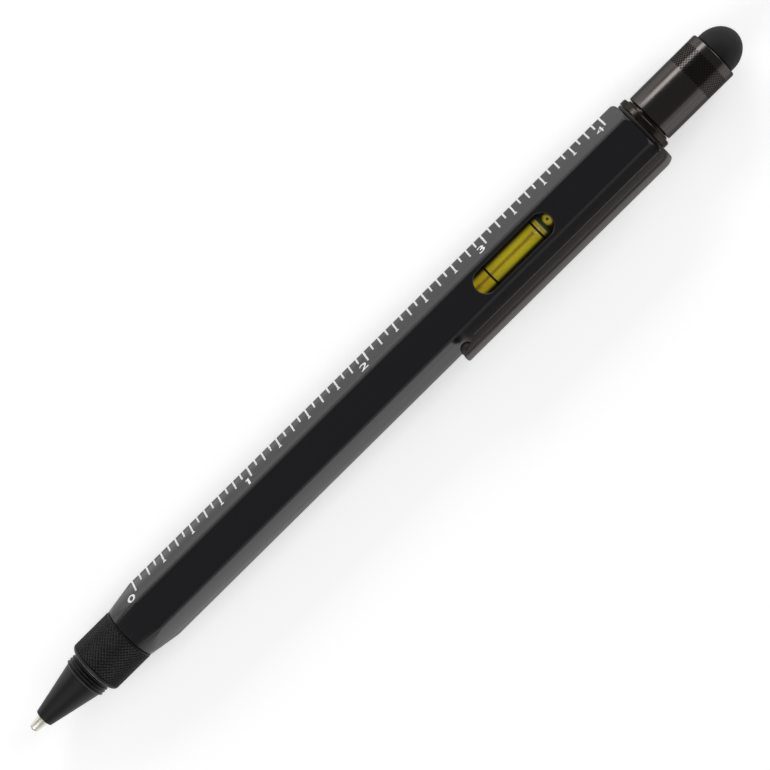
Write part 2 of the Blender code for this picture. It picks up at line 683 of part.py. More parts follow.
def make_carrier(looks, axis):
    """The tube that pushes the refill, and the pin that the two slots drive."""
    length = CARRIER_REAR - CARRIER_LEAD
    floor = length - CARRIER_END_WALL
    outline = [
        (0, CARRIER_INNER),
        (0, CARRIER_RADIUS),
        (length, CARRIER_RADIUS),
        (length, CARRIER_VENT_RADIUS),
        (floor, CARRIER_VENT_RADIUS),
        (floor, CARRIER_INNER),
    ]
    carrier = turned("refill_carrier", outline, looks["plastic"], axis, CARRIER_LEAD)
    combine(carrier, upright_pin("pin_hole", PIN_RADIUS + PIN_FIT, CARRIER_RADIUS + OVERRUN, None, axis, 0))
    pin_foot = CARRIER_INNER + REFILL_FIT
    pin_head = SLEEVE_RADIUS - FIT_GAP
    upright_pin("follower_pin", PIN_RADIUS, pin_head - pin_foot, looks["steel"], axis, pin_foot)


def make_refill_tip(looks, axis, tip_front, tip_rear):
    """The tip with its ball, as far out as it writes, and the spigot that holds it in the tube."""
    ball_x = BALL_RADIUS - BALL_SHOW
    seat = BALL_RADIUS + BALL_PLAY
    lip_opening = math.sqrt(BALL_RADIUS**2 - ball_x**2) + BALL_PLAY
    lip_radius = lip_opening + TIP_LIP_WALL
    spigot_radius = REFILL_INNER - REFILL_FIT
    outline = [
        (0, lip_opening),
        (0, lip_radius),
        (TIP_NOSE_LENGTH, lip_radius + TIP_NOSE_STEP),
        (TIP_CONE, REFILL_RADIUS),
        (TIP_LENGTH, REFILL_RADIUS),
        (TIP_LENGTH, spigot_radius),
        (tip_rear, spigot_radius),
        (tip_rear, INK_DUCT_RADIUS),
        (ball_x + 2 * BALL_RADIUS, INK_DUCT_RADIUS),
        (ball_x + BALL_RADIUS, seat / 2),
        (ball_x + BALL_RADIUS / 2, seat),
        (ball_x, seat),
    ]
    turned("refill_tip", outline, looks["nickel"], axis, tip_front)
    ball = egg(BALL_RADIUS, BALL_RADIUS)
    turned("writing_ball", ball, looks["steel"], axis, tip_front + ball_x, SMALL_SIDES)


def make_refill(looks, axis):
    """Tip, ball, tube and ink of the refill."""
    tip_front = TIP_END + BALL_SHOW
    tip_rear = TIP_LENGTH + TIP_SPIGOT
    make_refill_tip(looks, axis, tip_front, tip_rear)
    tube_front = tip_front + TIP_LENGTH + REFILL_FIT
    tube_length = REFILL_REAR - tube_front
    tube("refill_tube", tube_length, REFILL_INNER, REFILL_RADIUS, looks["nickel"], axis, tube_front)
    ink_front = tip_front + tip_rear + SEAT_GAP
    ink_length = (REFILL_REAR - ink_front) * INK_FILL_SHARE
    rod("ink_column", ink_length, REFILL_INNER - INK_PLAY, looks["ink"], axis, ink_front, SMALL_SIDES)


def make_vial_tube(looks, axis):
    """The clear tube, closed at its front."""
    bore_front = FLUID_FRONT - VIAL_FRONT - SEAT_GAP
    length = VIAL_REAR - VIAL_FRONT
    outline = [
        (0, 0),
        (0, VIAL_RADIUS),
        (length, VIAL_RADIUS),
        (length, VIAL_BORE_RADIUS),
        (bore_front + FLUID_ROUND, VIAL_BORE_RADIUS),
        (bore_front, VIAL_BORE_RADIUS - FLUID_ROUND),
        (bore_front, 0),
    ]
    turned("vial_tube", outline, looks["clear"], axis, VIAL_FRONT)


def make_vial_fluid(looks, axis):
    """The fluid, with a groove for each mark and a channel for the bubble's way."""
    outline = [(0, 0), (0, FLUID_RADIUS - FLUID_ROUND), (FLUID_ROUND, FLUID_RADIUS)]
    groove_half = MARK_WIDTH / 2 + VIAL_FIT
    groove_floor = MARK_INNER - VIAL_FIT
    for mark in (FRONT_MARK - FLUID_FRONT, REAR_MARK - FLUID_FRONT):
        outline.append((mark - groove_half, FLUID_RADIUS))
        outline.append((mark - groove_half, groove_floor))
        outline.append((mark + groove_half, groove_floor))
        outline.append((mark + groove_half, FLUID_RADIUS))
    outline += [(FLUID_LENGTH, FLUID_RADIUS), (FLUID_LENGTH, 0)]
    fluid = turned("vial_fluid", outline, looks["fluid"], axis, FLUID_FRONT)
    channel = rod(
        "bubble_channel",
        FLUID_LENGTH - BUBBLE_STOP + OVERRUN,
        CHANNEL_RADIUS,
        None,
        axis,
        FLUID_FRONT + BUBBLE_STOP,
        SMALL_SIDES,
        BUBBLE_HEIGHT,
    )
    combine(fluid, channel)


def make_vial_marks(looks, axis):
    """The two black rings that the bubble is read against, and the bubble."""
    for name, station in (("vial_ring_front", FRONT_MARK), ("vial_ring_rear", REAR_MARK)):
        front = station - MARK_WIDTH / 2
        tube(name, MARK_WIDTH, MARK_INNER, FLUID_RADIUS, looks["rubber"], axis, front)
    bubble = egg(BUBBLE_HALF_LENGTH, BUBBLE_RADIUS)
    turned("vial_bubble", bubble, looks["air"], axis, BUBBLE_STATION, SMALL_SIDES, BUBBLE_HEIGHT)


def make_vial_closure(looks, axis):
    """The seal and the plug that close the level's stylus end."""
    seal_front = PLUG_NOSE_FRONT + SEAT_GAP / 2
    seal_bore = PLUG_NOSE_RADIUS + VIAL_FIT
    tube("vial_seal", SEAL_WIDTH, seal_bore, FLUID_RADIUS, looks["green"], axis, seal_front)
    body_front = PLUG_BODY_FRONT - PLUG_NOSE_FRONT
    head_front = PLUG_HEAD_FRONT - PLUG_NOSE_FRONT
    head_rear = head_front + PLUG_HEAD_LENGTH
    outline = [
        (0, 0),
        (0, PLUG_NOSE_RADIUS),
        (body_front, PLUG_NOSE_RADIUS),
        (body_front, FLUID_RADIUS),
        (head_front, FLUID_RADIUS),
        (head_front, VIAL_RADIUS),
        (head_rear, VIAL_RADIUS),
        (head_rear, 0),
    ]
    turned("vial_plug", outline, looks["clear"], axis, PLUG_NOSE_FRONT)


def make_collar(looks, axis):
    """The collar that screws into the barrel, clamps the clip's eyelet and carries the cap's thread."""
    flange_front = COLLAR_FRONT - SHANK_FRONT
    flange_rear = COLLAR_REAR - SHANK_FRONT
    neck_rear = NECK_REAR - SHANK_FRONT
    nipple_rear = NIPPLE_REAR - SHANK_FRONT
    round_x = flange_rear - COLLAR_ROUND
    outline = [
        (0, COLLAR_BORE),
        (0, COLLAR_SHANK_RADIUS),
        (flange_front, COLLAR_SHANK_RADIUS),
        (flange_front, COLLAR_RADIUS),
        *reversed(quarter(round_x, COLLAR_RADIUS - COLLAR_ROUND, COLLAR_ROUND, COLLAR_ROUND, 0)),
        (flange_rear, NECK_RADIUS),
        (neck_rear, NECK_RADIUS),
        (neck_rear, NIPPLE_RADIUS),
        (nipple_rear, NIPPLE_RADIUS),
        (nipple_rear, COLLAR_BORE),
    ]
    turned("top_collar", outline, looks["gunmetal"], axis, SHANK_FRONT, FINE_SIDES)


def make_socket(looks, axis):
    """The hexagonal socket inside the collar, with its magnet."""
    length = NIPPLE_REAR - SOCKET_FRONT
    socket = rod("bit_socket", length, SOCKET_RADIUS, looks["steel"], axis, SOCKET_FRONT, FINE_SIDES)
    hollow = hexagon(SOCKET_FLATS, x=world_x(SOCKET_FRONT + SOCKET_FLOOR))
    combine(socket, extruded("socket_hollow", hollow, (length, 0, 0), None, axis, (0, 0, 0)))
    rod("bit_magnet", MAGNET_LENGTH, MAGNET_RADIUS, looks["steel"], axis, MAGNET_FRONT)


def bit_envelope(axis):
    """The turned shape of the bit: a pointed front, thin ends and the full hexagon between them."""
    clear_reach = BIT_REACH + FIT_GAP
    step = clear_reach - BIT_END_RADIUS
    point = BIT_END_RADIUS - CROSS_TIP_RADIUS
    outline = [
        (PIN_FIT, 0),
        (PIN_FIT, CROSS_TIP_RADIUS),
        (PIN_FIT + point, BIT_END_RADIUS),
        (BIT_END_LENGTH, BIT_END_RADIUS),
        (BIT_END_LENGTH + step, clear_reach),
        (BIT_LENGTH - BIT_END_LENGTH - step, clear_reach),
        (BIT_LENGTH - BIT_END_LENGTH, BIT_END_RADIUS),
        (BIT_LENGTH - PIN_FIT, BIT_END_RADIUS),
        (BIT_LENGTH - PIN_FIT, 0),
    ]
    return turned("bit_envelope", outline, None, axis, BIT_FRONT)


def make_bit(looks, axis):
    """The reversible bit: hexagonal in the middle, a cross point in the socket, a slot blade outside."""
    blank = hexagon(BIT_FLATS, x=world_x(BIT_FRONT))
    bit = extruded("driver_bit", blank, (BIT_LENGTH, 0, 0), looks["steel"], axis, (0, 0, 0))
    combine(bit, bit_envelope(axis), "INTERSECT")
    reach = BIT_REACH + OVERRUN
    notch = (CROSS_WIDTH / 2, reach)
    for number in range(4):
        turn = math.tau * number / 4
        name = f"cross_notch_{number}"
        combine(bit, block(name, (-OVERRUN, CROSS_LENGTH), notch, notch, axis, BIT_FRONT, turn))
    along = (BIT_LENGTH - BLADE_LENGTH, BIT_LENGTH + OVERRUN)
    cheek = (BLADE_THICKNESS / 2, reach)
    for number in range(2):
        turn = math.pi * number
        name = f"blade_cheek_{number}"
        combine(bit, block(name, along, (-reach, reach), cheek, axis, BIT_FRONT, turn))


def make_cap(looks, axis):
    """The stylus cap over the driver bit."""
    length = CAP_REAR - CAP_FRONT
    floor = CAP_FLOOR - CAP_FRONT
    mouth_depth = NIPPLE_REAR - CAP_FRONT + CAP_MOUTH_MARGIN
    edge_radius = CAP_RADIUS - CAP_EDGE
    outline = [
        (0, CAP_MOUTH_RADIUS),
        (0, edge_radius),
        (CAP_EDGE, CAP_RADIUS),
        (length - CAP_EDGE, CAP_RADIUS),
        (length, edge_radius),
        (length, STEM_HOLE_RADIUS),
        (floor, STEM_HOLE_RADIUS),
        (floor, CAP_BORE_RADIUS),
        (mouth_depth, CAP_BORE_RADIUS),
        (mouth_depth, CAP_MOUTH_RADIUS),
    ]
    turned("stylus_cap", outline, looks["gunmetal"], axis, CAP_FRONT, FINE_SIDES)


def make_dome(looks, axis):
    """The hollow rubber dome on the cap, and the core that holds it there."""
    cavity_x = DOME_WEB + DOME_SKIRT
    outer = quarter(DOME_SKIRT, 0, DOME_LENGTH - DOME_SKIRT, DOME_RADIUS, 0, 2 * ARC_STEPS)
    inner = quarter(cavity_x, 0, DOME_LENGTH - DOME_WALL - cavity_x, DOME_INNER, 0)
    dome = [
        (DOME_LENGTH, 0),
        *outer[1:],
        (0, DOME_RADIUS),
        (0, STEM_HOLE_RADIUS),
        (DOME_WEB, STEM_HOLE_RADIUS),
        (DOME_WEB, DOME_INNER),
        *reversed(inner[1:]),
        (DOME_LENGTH - DOME_WALL, 0),
    ]
    turned("stylus_dome", dome, looks["rubber"], axis, DOME_FRONT)

    stem = DOME_FRONT + DOME_WEB + SEAT_GAP / 2 - CAP_FLOOR
    core = [
        (0, 0),
        (0, CORE_STEM_RADIUS),
        (stem, CORE_STEM_RADIUS),
        (stem, CORE_HEAD_RADIUS),
        (stem + CORE_HEAD_LENGTH / 2, CORE_HEAD_RADIUS),
        (stem + CORE_HEAD_LENGTH, CORE_STEM_RADIUS),
        (stem + CORE_HEAD_LENGTH, 0),
    ]
    turned("dome_core", core, looks["steel"], axis, CAP_FLOOR)


def make_clip_ring(looks, axis):
    """The clip's eyelet round the collar's shank, with the stub of its arm."""
    gunmetal = looks["gunmetal"]
    eyelet = tube(
        "clip_ring", CLIP_SHEET, EYELET_BORE, EYELET_RADIUS, gunmetal, axis, EYELET_FRONT, FINE_SIDES
    )
    half_width = CLIP_WIDTH / 2 - STUB_RELIEF
    along = (STUB_INSET, CLIP_SHEET - STUB_INSET)
    outward = (EYELET_BORE + EYELET_WIDTH / 2, STUB_HEIGHT)
    stub = block("eyelet_stub", along, (-half_width, half_width), outward, axis, EYELET_FRONT, CLIP_TURN)
    combine(eyelet, stub, "UNION")


def clip_side_outline(tip, end):
    """The side view of the arm: its wall is cut back at the tip and drops over a shoulder to the eyelet."""
    underside = CLIP_TOP - CLIP_SHEET
    shoulder = CLIP_TOP - CLIP_SHOULDER_DROP
    return [
        (tip + CLIP_TIP_ROUND, CLIP_TOP),
        *reversed(quarter(end - CLIP_SHOULDER_RUN, shoulder, CLIP_SHOULDER_RUN, CLIP_SHOULDER_DROP, 0)),
        (end, 0),
        (end - CLIP_SHEET, 0),
        (end - CLIP_SHEET, CLIP_WALL_EDGE),
        (tip + CLIP_WALL_START + CLIP_WALL_SLOPE, CLIP_WALL_EDGE),
        (tip + CLIP_WALL_START, underside),
        (tip, underside),
    ]


def clip_channel(tip, end, hinge):
    """The hollow between the arm's two walls."""
    half_width = CLIP_WIDTH / 2 - CLIP_SHEET
    underside = CLIP_TOP - CLIP_SHEET
    side = [
        (tip - OVERRUN, -OVERRUN),
        (end - CLIP_SHEET, -OVERRUN),
        (end - CLIP_SHEET, underside - CLIP_SHOULDER_DROP),
        (end - CLIP_SHOULDER_RUN, underside),
        (tip - OVERRUN, underside),
    ]
    outline = [(x, -half_width, z) for x, z in side]
    return extruded("clip_channel", outline, (0, 2 * half_width, 0), None, hinge, (0, 0, 0))


def clip_plan(tip, end, hinge):
    """The arm seen square on: a rounded nose at the tip, small corners at the eyelet."""
    half_width = CLIP_WIDTH / 2
    nose = half_width - CLIP_TIP_FLAT / 2
    corners = [
        (end - CLIP_END_CORNER, half_width - CLIP_END_CORNER, CLIP_END_CORNER),
        (tip + nose, half_width - nose, nose),
        (tip + nose, nose - half_width, nose),
        (end - CLIP_END_CORNER, CLIP_END_CORNER - half_width, CLIP_END_CORNER),
    ]
    outline = []
    for quarters, (x, y, radius) in enumerate(corners):
        outline += [(*point, -OVERRUN) for point in quarter(x, y, radius, radius, quarters)]
    return extruded("clip_plan", outline, (0, 0, CLIP_TOP + 2 * OVERRUN), None, hinge, (0, 0, 0))


def make_clip_arm(looks, hinge):
    """The folded arm and its ball, drawn from the hinge: x runs along the pen, z out from the flat."""
    half_width = CLIP_WIDTH / 2
    end = CLIP_SHEET / 2
    tip = end - CLIP_LENGTH
    outline = [(x, -half_width, z) for x, z in clip_side_outline(tip, end)]
    arm = extruded("clip_arm", outline, (0, CLIP_WIDTH, 0), looks["gunmetal"], hinge, (0, 0, 0))
    combine(arm, clip_channel(tip, end, hinge))
    combine(arm, clip_plan(tip, end, hinge), "INTERSECT")
    bm = bmesh.new()
    bmesh.ops.create_uvsphere(
        bm, u_segments=SMALL_SIDES, v_segments=SMALL_SIDES // 2, radius=CLIP_BALL_RADIUS
    )
    ball = place("clip_ball", bm, None, hinge, (tip + CLIP_BALL_RADIUS, 0, CLIP_BALL_HEIGHT))
    combine(arm, ball, "UNION")


def main():
    clear_scene()
    looks = make_finishes()
    axis = empty("pen_axis", (0, 0, BARREL_FLATS / 2))
    clip_frame = empty("clip_frame", (0, 0, 0), axis, CLIP_TURN)
    hinge_x = world_x((EYELET_FRONT + EYELET_REAR) / 2)
    hinge = empty("clip_hinge", (hinge_x, 0, HINGE_HEIGHT), clip_frame)
    make_barrel(looks, axis)
    make_twist_ring(looks, axis)
    make_nose_cone(looks, axis)
    make_cam_sleeve(looks, axis)
    make_guide(looks, axis)
    make_carrier(looks, axis)
    make_refill(looks, axis)
    make_vial_tube(looks, axis)
    make_vial_fluid(looks, axis)
    make_vial_marks(looks, axis)
    make_vial_closure(looks, axis)
    make_collar(looks, axis)
    make_socket(looks, axis)
    make_bit(looks, axis)
    make_cap(looks, axis)
    make_dome(looks, axis)
    make_clip_ring(looks, axis)
    make_clip_arm(looks, hinge)


main()
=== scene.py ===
"""A hexagonal multi tool pen: knurled twist front, inch scale, spirit level, folded clip and stylus cap."""
import sys
import logging
import math
from collections.abc import Callable, Iterable
from dataclasses import dataclass
from enum import Enum

import bmesh
import bpy
from mathutils import Matrix, Vector


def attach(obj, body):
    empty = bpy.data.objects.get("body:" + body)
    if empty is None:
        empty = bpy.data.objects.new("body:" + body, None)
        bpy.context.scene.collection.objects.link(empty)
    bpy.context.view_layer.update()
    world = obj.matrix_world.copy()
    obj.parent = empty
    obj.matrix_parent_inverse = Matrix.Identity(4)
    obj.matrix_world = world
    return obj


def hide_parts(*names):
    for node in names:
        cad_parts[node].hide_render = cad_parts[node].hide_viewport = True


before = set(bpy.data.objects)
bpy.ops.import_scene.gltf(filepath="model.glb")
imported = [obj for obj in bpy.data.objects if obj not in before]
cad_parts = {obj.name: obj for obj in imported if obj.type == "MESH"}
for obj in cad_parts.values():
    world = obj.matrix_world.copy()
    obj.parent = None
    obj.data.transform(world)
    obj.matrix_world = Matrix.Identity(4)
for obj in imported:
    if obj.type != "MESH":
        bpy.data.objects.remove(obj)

MM = 0.001
AXIS = 4.85 * MM
ORIGIN_STATION = 55.3
SIDES = 96
FLATS = 9.7
CLIP_TURN = math.radians(60)
REPORT = logging.getLogger("pen")

Piece = bpy.types.Object
Node = bpy.types.Node
Socket = bpy.types.NodeSocket
Material = bpy.types.Material
Pair = tuple[float, float]
Triple = tuple[float, float, float]
Pairs = tuple[Pair, ...]
Outline = list[Pair]
Colour = tuple[float, float, float, float]
Paint = Colour | Socket


def along(station: float) -> float:
    """Returns the world X, in metres, of a station in millimetres from the barrel's mouth."""
    return (station - ORIGIN_STATION) * MM


def grey(level: float) -> Colour:
    """Returns a neutral colour of the given linear level."""
    return (level, level, level, 1.0)


def darker(colour: Colour, share: float) -> Colour:
    """Returns a colour brought down to a share of its level."""
    return (*(part * share for part in colour[:3]), 1.0)


def sign(operation: str, swapped: bool = False) -> Callable[["Value", "Value | float"], "Value"]:
    """Makes the method behind an arithmetic sign.

    Args:
        operation: the Math node's operation.
        swapped: whether the method's own value comes second.

    Returns:
        The method.
    """

    def method(self: "Value", other: "Value | float") -> "Value":
        """Returns the operation's result."""
        return self.graph.maths(operation, *((other, self) if swapped else (self, other)))

    return method


class Value:
    """A number that varies over a surface. Arithmetic on it adds Math nodes."""

    __add__, __radd__ = sign("ADD"), sign("ADD", swapped=True)
    __sub__, __rsub__ = sign("SUBTRACT"), sign("SUBTRACT", swapped=True)
    __mul__, __rmul__ = sign("MULTIPLY"), sign("MULTIPLY", swapped=True)
    __truediv__, __rtruediv__ = sign("DIVIDE"), sign("DIVIDE", swapped=True)

    def __init__(self, graph: "Graph", socket: Socket) -> None:
        """Keeps the socket that carries the number and the graph it belongs to."""
        self.graph = graph
        self.socket = socket

    def size(self) -> "Value":
        """Returns the number without its sign."""
        return self.graph.maths("ABSOLUTE", self)

    def between(self, low: float, high: float) -> "Value":
        """Returns a smooth step.

        Args:
            low: the number that becomes 0.
            high: the number that becomes 1.

        Returns:
            The step, held between 0 and 1.
        """
        step = self.graph.node(
            "ShaderNodeMapRange",
            {"interpolation_type": "SMOOTHSTEP", "clamp": True},
            {"Value": self, "From Min": low, "From Max": high},
        )
        return Value(self.graph, step.outputs["Result"])


class Nodes:
    """A node tree that is filled in code."""

    def __init__(self, tree: bpy.types.NodeTree) -> None:
        """Takes a tree and empties it."""
        self.tree = tree
        self.tree.nodes.clear()

    def node(self, kind: str, settings: dict | None = None, inputs: dict | None = None) -> Node:
        """Adds a node.

        Args:
            kind: the node's type.
            settings: its properties, which are set first.
            inputs: a value or a link for each named or numbered socket.

        Returns:
            The node.
        """
        node = self.tree.nodes.new(kind)
        for key, value in (settings or {}).items():
            setattr(node, key, value)
        for key, value in (inputs or {}).items():
            source = value.socket if isinstance(value, Value) else value
            if isinstance(source, Socket):
                self.tree.links.new(source, node.inputs[key])
            else:
                node.inputs[key].default_value = source
        return node


class Graph(Nodes):
    """The node tree of one material, with the few moves that the finishes need."""

    def __init__(self, name: str) -> None:
        """Makes an empty node material and reads the place of a point.

        Args:
            name: the material's name.
        """
        self.material = bpy.data.materials.new(name)
        self.material.use_nodes = True
        super().__init__(self.material.node_tree)
        self.place = self.node("ShaderNodeTexCoord").outputs["Object"]
        parts = self.node("ShaderNodeSeparateXYZ", inputs={"Vector": self.place})
        self.x = Value(self, parts.outputs["X"])
        self.y = Value(self, parts.outputs["Y"])
        self.z = Value(self, parts.outputs["Z"]) - AXIS

    def maths(self, operation: str, *terms: "Value | float") -> Value:
        """Adds a Math node of an operation, with its inputs in order, and returns the result."""
        node = self.node("ShaderNodeMath", {"operation": operation}, dict(enumerate(terms)))
        return Value(self, node.outputs[0])

    def span(self, first: Value, second: Value) -> Value:
        """Returns the length of a line from its two parts at a right angle."""
        return self.maths("SQRT", first * first + second * second)

    def radius(self) -> Value:
        """Returns the distance from the pen's axis, in millimetres."""
        return self.span(self.y, self.z) / MM

    def past(self, station: float) -> Value:
        """Returns how far a point lies past a station, in millimetres."""
        return (self.x - along(station)) / MM

    def aside(self) -> Value:
        """Returns how far a point lies to the side of the axis, in millimetres."""
        return self.y / MM

    def over_clip_flat(self) -> Value:
        """Returns the height over the pen's axis, square to the flat that carries the clip, in millimetres."""
        return (self.z * math.cos(CLIP_TURN) - self.y * math.sin(CLIP_TURN)) / MM

    def across_clip_flat(self) -> Value:
        """Returns the place across the flat that carries the clip, in millimetres from its middle."""
        return (self.y * math.cos(CLIP_TURN) + self.z * math.sin(CLIP_TURN)) / MM

    def noise(self, lengths: Triple, detail: float = 2.0) -> Value:
        """Adds a noise.

        Args:
            lengths: the length of its features along x, y and z, in millimetres.
            detail: the octaves.

        Returns:
            The noise, about 0 to 1.
        """
        scale = tuple(1 / (length * MM) for length in lengths)
        spread = self.node("ShaderNodeMapping", {"vector_type": "POINT"}, {"Vector": self.place, "Scale": scale})
        inputs = {"Vector": spread.outputs[0], "Scale": 1.0, "Detail": detail}
        return Value(self, self.node("ShaderNodeTexNoise", inputs=inputs).outputs[0])

    def edges(self, reach: float) -> Value:
        """Finds the edges of the surface.

        Args:
            reach: how far from an edge it acts, in millimetres.

        Returns:
            About 1 at a sharp edge and 0 on a flat face.
        """
        rounded = self.node("ShaderNodeBevel", {"samples": 4}, {"Radius": reach * MM}).outputs["Normal"]
        plain = self.node("ShaderNodeNewGeometry").outputs["Normal"]
        cosine = self.node("ShaderNodeVectorMath", {"operation": "DOT_PRODUCT"}, {0: rounded, 1: plain})
        return (1.0 - Value(self, cosine.outputs["Value"])).between(0.01, 0.22)

    def blend(self, share: "Value | float", first: Paint, second: Paint) -> Socket:
        """Mixes two colours or links, where a share of 0 gives the first and 1 the second."""
        mix = self.node("ShaderNodeMix", {"data_type": "RGBA"}, {0: share, 6: first, 7: second})
        return mix.outputs[2]

    def relief(self, height: Value, depth: float) -> Socket:
        """Turns a height from 0 to 1 into the normal of a relief, with its depth in millimetres."""
        bump = self.node("ShaderNodeBump", inputs={"Strength": 1.0, "Distance": depth * MM, "Height": height})
        return bump.outputs["Normal"]

    def close(self, shader: Socket) -> Material:
        """Joins a shader to the output and returns the material."""
        self.node("ShaderNodeOutputMaterial", inputs={"Surface": shader})
        return self.material

    def body(self, **inputs: object) -> Material:
        """Closes the graph with a Principled shader, whose sockets are named with underscores for spaces."""
        named = {key.replace("_", " "): value for key, value in inputs.items()}
        return self.close(self.node("ShaderNodeBsdfPrincipled", inputs=named).outputs[0])


class Lay(Enum):
    """The way the tool marks run on a metal piece."""

    ROUND = (0.03, 40.0, 40.0)
    ALONG = (6.0, 0.035, 0.035)
    EVEN = (0.05, 0.05, 0.05)


@dataclass(frozen=True)
class Finish:
    """A surface finish: the material and the record's slot that it belongs to."""

    name: str
    slot: str

    def material(self) -> Material:
        """Returns the finish's material, which is made once."""
        name = f"{self.name}_finish"
        return bpy.data.materials.get(name) or self.paint(Graph(name))

    def paint(self, graph: Graph) -> Material:
        """Paints the finish on an empty graph and returns its material."""
        raise NotImplementedError

    def dress(self, piece: Piece) -> None:
        """Gives every face of a piece this finish.

        Args:
            piece: the piece.
        """
        if not piece.material_slots:
            piece.data.materials.append(self.material())
        for slot in piece.material_slots:
            slot.material = self.material()


@dataclass(frozen=True)
class Coating(Finish):
    """A black coat on metal: fine blasted grain, faint handling marks and paler worn edges.

    crest and root are the radii between which a cut pattern rises, in millimetres, or 0. matt is the
    roughness added on the crests. rim is the radius under which the coat is drawn worn bare, or 0: partly wear,
    partly a painted highlight along that edge.
    """

    colour: Colour = (0.0105, 0.0105, 0.0125, 1.0)
    worn: Colour = (0.075, 0.075, 0.08, 1.0)
    bare: Colour = (0.26, 0.26, 0.27, 1.0)
    tint: Colour = grey(1.0)
    roughness: float = 0.34
    wear: float = 0.7
    specular: float = 0.5
    crest: float = 0.0
    root: float = 0.0
    matt: float = 0.0
    rim: float = 0.0

    def touch(self, graph: Graph, colour: Paint, roughness: Value) -> tuple[Paint, Value]:
        """Returns the colour and roughness as they are: a plain coat has no marks in one place only."""
        return colour, roughness

    def paint(self, graph: Graph) -> Material:
        """Paints the coat.

        Args:
            graph: an empty graph.

        Returns:
            The material.
        """
        grain = graph.noise((0.07, 0.07, 0.07), 3.0)
        marks = graph.noise((9.0, 0.5, 0.5), 3.0)
        patches = graph.noise((2.2, 2.2, 2.2), 4.0).between(0.38, 0.66)
        base = graph.blend(grain * 0.5 + marks * 0.5, darker(self.colour, 0.72), self.colour)
        roughness = grain * 0.08 + marks * 0.07 + (self.roughness - 0.075)
        if self.crest:
            rise = graph.radius().between(self.root, self.crest)
            edge = rise * rise * (patches * 0.35 + 0.25)
            roughness = roughness + rise * self.matt
        else:
            edge = graph.edges(0.16) * (patches * 0.6 + 0.4)
        colour, roughness = self.touch(graph, graph.blend(edge * self.wear, base, self.worn), roughness)
        # The bare rim band is partly wear and partly a painted highlight line along the edge.
        if self.rim:
            rub_and_highlight = 1.0 - graph.radius().between(self.rim, self.rim + 0.15)
            colour = graph.blend(rub_and_highlight * (patches * 0.4 + 0.6), colour, self.bare)
        return graph.body(
            Base_Color=colour,
            Roughness=roughness,
            Metallic=0.0,
            IOR=1.5,
            Specular_IOR_Level=self.specular,
            Specular_Tint=self.tint,
            Normal=graph.relief(grain, 0.004),
        )


@dataclass(frozen=True)
class BarrelCoat(Coating):
    """The barrel's coat, duller under the clip where the hand does not polish it, and darkened there with painted
    shade, as if in the clip's shadow.

    The patch starts at the station clip_from and reaches its full depth a length fade further. flat holds
    the heights over the axis between which it sets in, and beside the distances from the flat's middle
    between which it ends, all in millimetres.
    """

    clip_from: float = 68.3
    fade: float = 2.2
    flat: Pair = (4.7, 4.82)
    beside: Pair = (2.3, 2.7)
    dulling: float = 0.6
    # The share by which the patch's colour goes to shaded: painted shade of the clip.
    painted_shade: float = 0.7
    shaded: Colour = grey(0.002)

    def touch(self, graph: Graph, colour: Paint, roughness: Value) -> tuple[Paint, Value]:
        """Dulls the flat under the clip and darkens it with painted shade.

        Args:
            graph: the graph that paints the barrel.
            colour: the coat's colour so far.
            roughness: its roughness so far.

        Returns:
            Its colour and its roughness.
        """
        on_flat = graph.over_clip_flat().between(*self.flat)
        in_width = 1.0 - graph.across_clip_flat().size().between(*self.beside)
        # Painted shade under the clip, where the coat is also made rougher.
        shade_and_dull = on_flat * in_width * graph.past(self.clip_from).between(0.0, self.fade)
        return graph.blend(shade_and_dull * self.painted_shade, colour, self.shaded), roughness + shade_and_dull * self.dulling


@dataclass(frozen=True)
class ClipCoat(Coating):
    """The clip's coat: matt on the walls, with painted highlights: paler along the fold, drawn as thin coat, and a
    bright line on the walls' cut edges, drawn as bare metal.

    Heights are over the pen's axis, square to the flat that carries the clip, in millimetres. brink is that
    of the cut edges and cut the width of their painted highlight line, drawn as bare metal. fold and wall hold
    the heights over the brink between which the fold's painted highlight begins and the walls' matt coat ends.
    run holds the stations between which the edges carry that line, each with the length of its fade.
    """

    brink: float = 5.92
    cut: float = 0.1
    fold: Pair = (1.0, 1.6)
    wall: Pair = (1.1, 1.5)
    run: tuple[Pair, Pair] = ((70.6, 0.6), (109.9, 0.3))
    rub_and_highlight: float = 0.16
    edge_highlight: float = 0.8
    dulling: float = 0.35

    def touch(self, graph: Graph, colour: Paint, roughness: Value) -> tuple[Paint, Value]:
        """Marks the clip's fold and cut edges with painted highlights and makes its walls matt.

        Args:
            graph: the graph that paints the clip.
            colour: the coat's colour so far.
            roughness: its roughness so far.

        Returns:
            Its colour and its roughness.
        """
        rise = graph.over_clip_flat() - self.brink
        (start, fade_in), (end, fade_out) = self.run
        on_run = graph.past(start).between(0.0, fade_in) * (1.0 - graph.past(end).between(0.0, fade_out))
        # Painted highlight: a bright line in the worn colour along the walls' cut edges.
        edges = (1.0 - rise.between(0.0, self.cut)) * on_run
        # Painted highlight: the fold and outer face paler than the walls.
        colour = graph.blend(rise.between(*self.fold) * self.rub_and_highlight, colour, self.worn)
        colour = graph.blend(edges * self.edge_highlight, colour, self.worn)
        return colour, roughness + (1.0 - rise.between(*self.wall)) * self.dulling


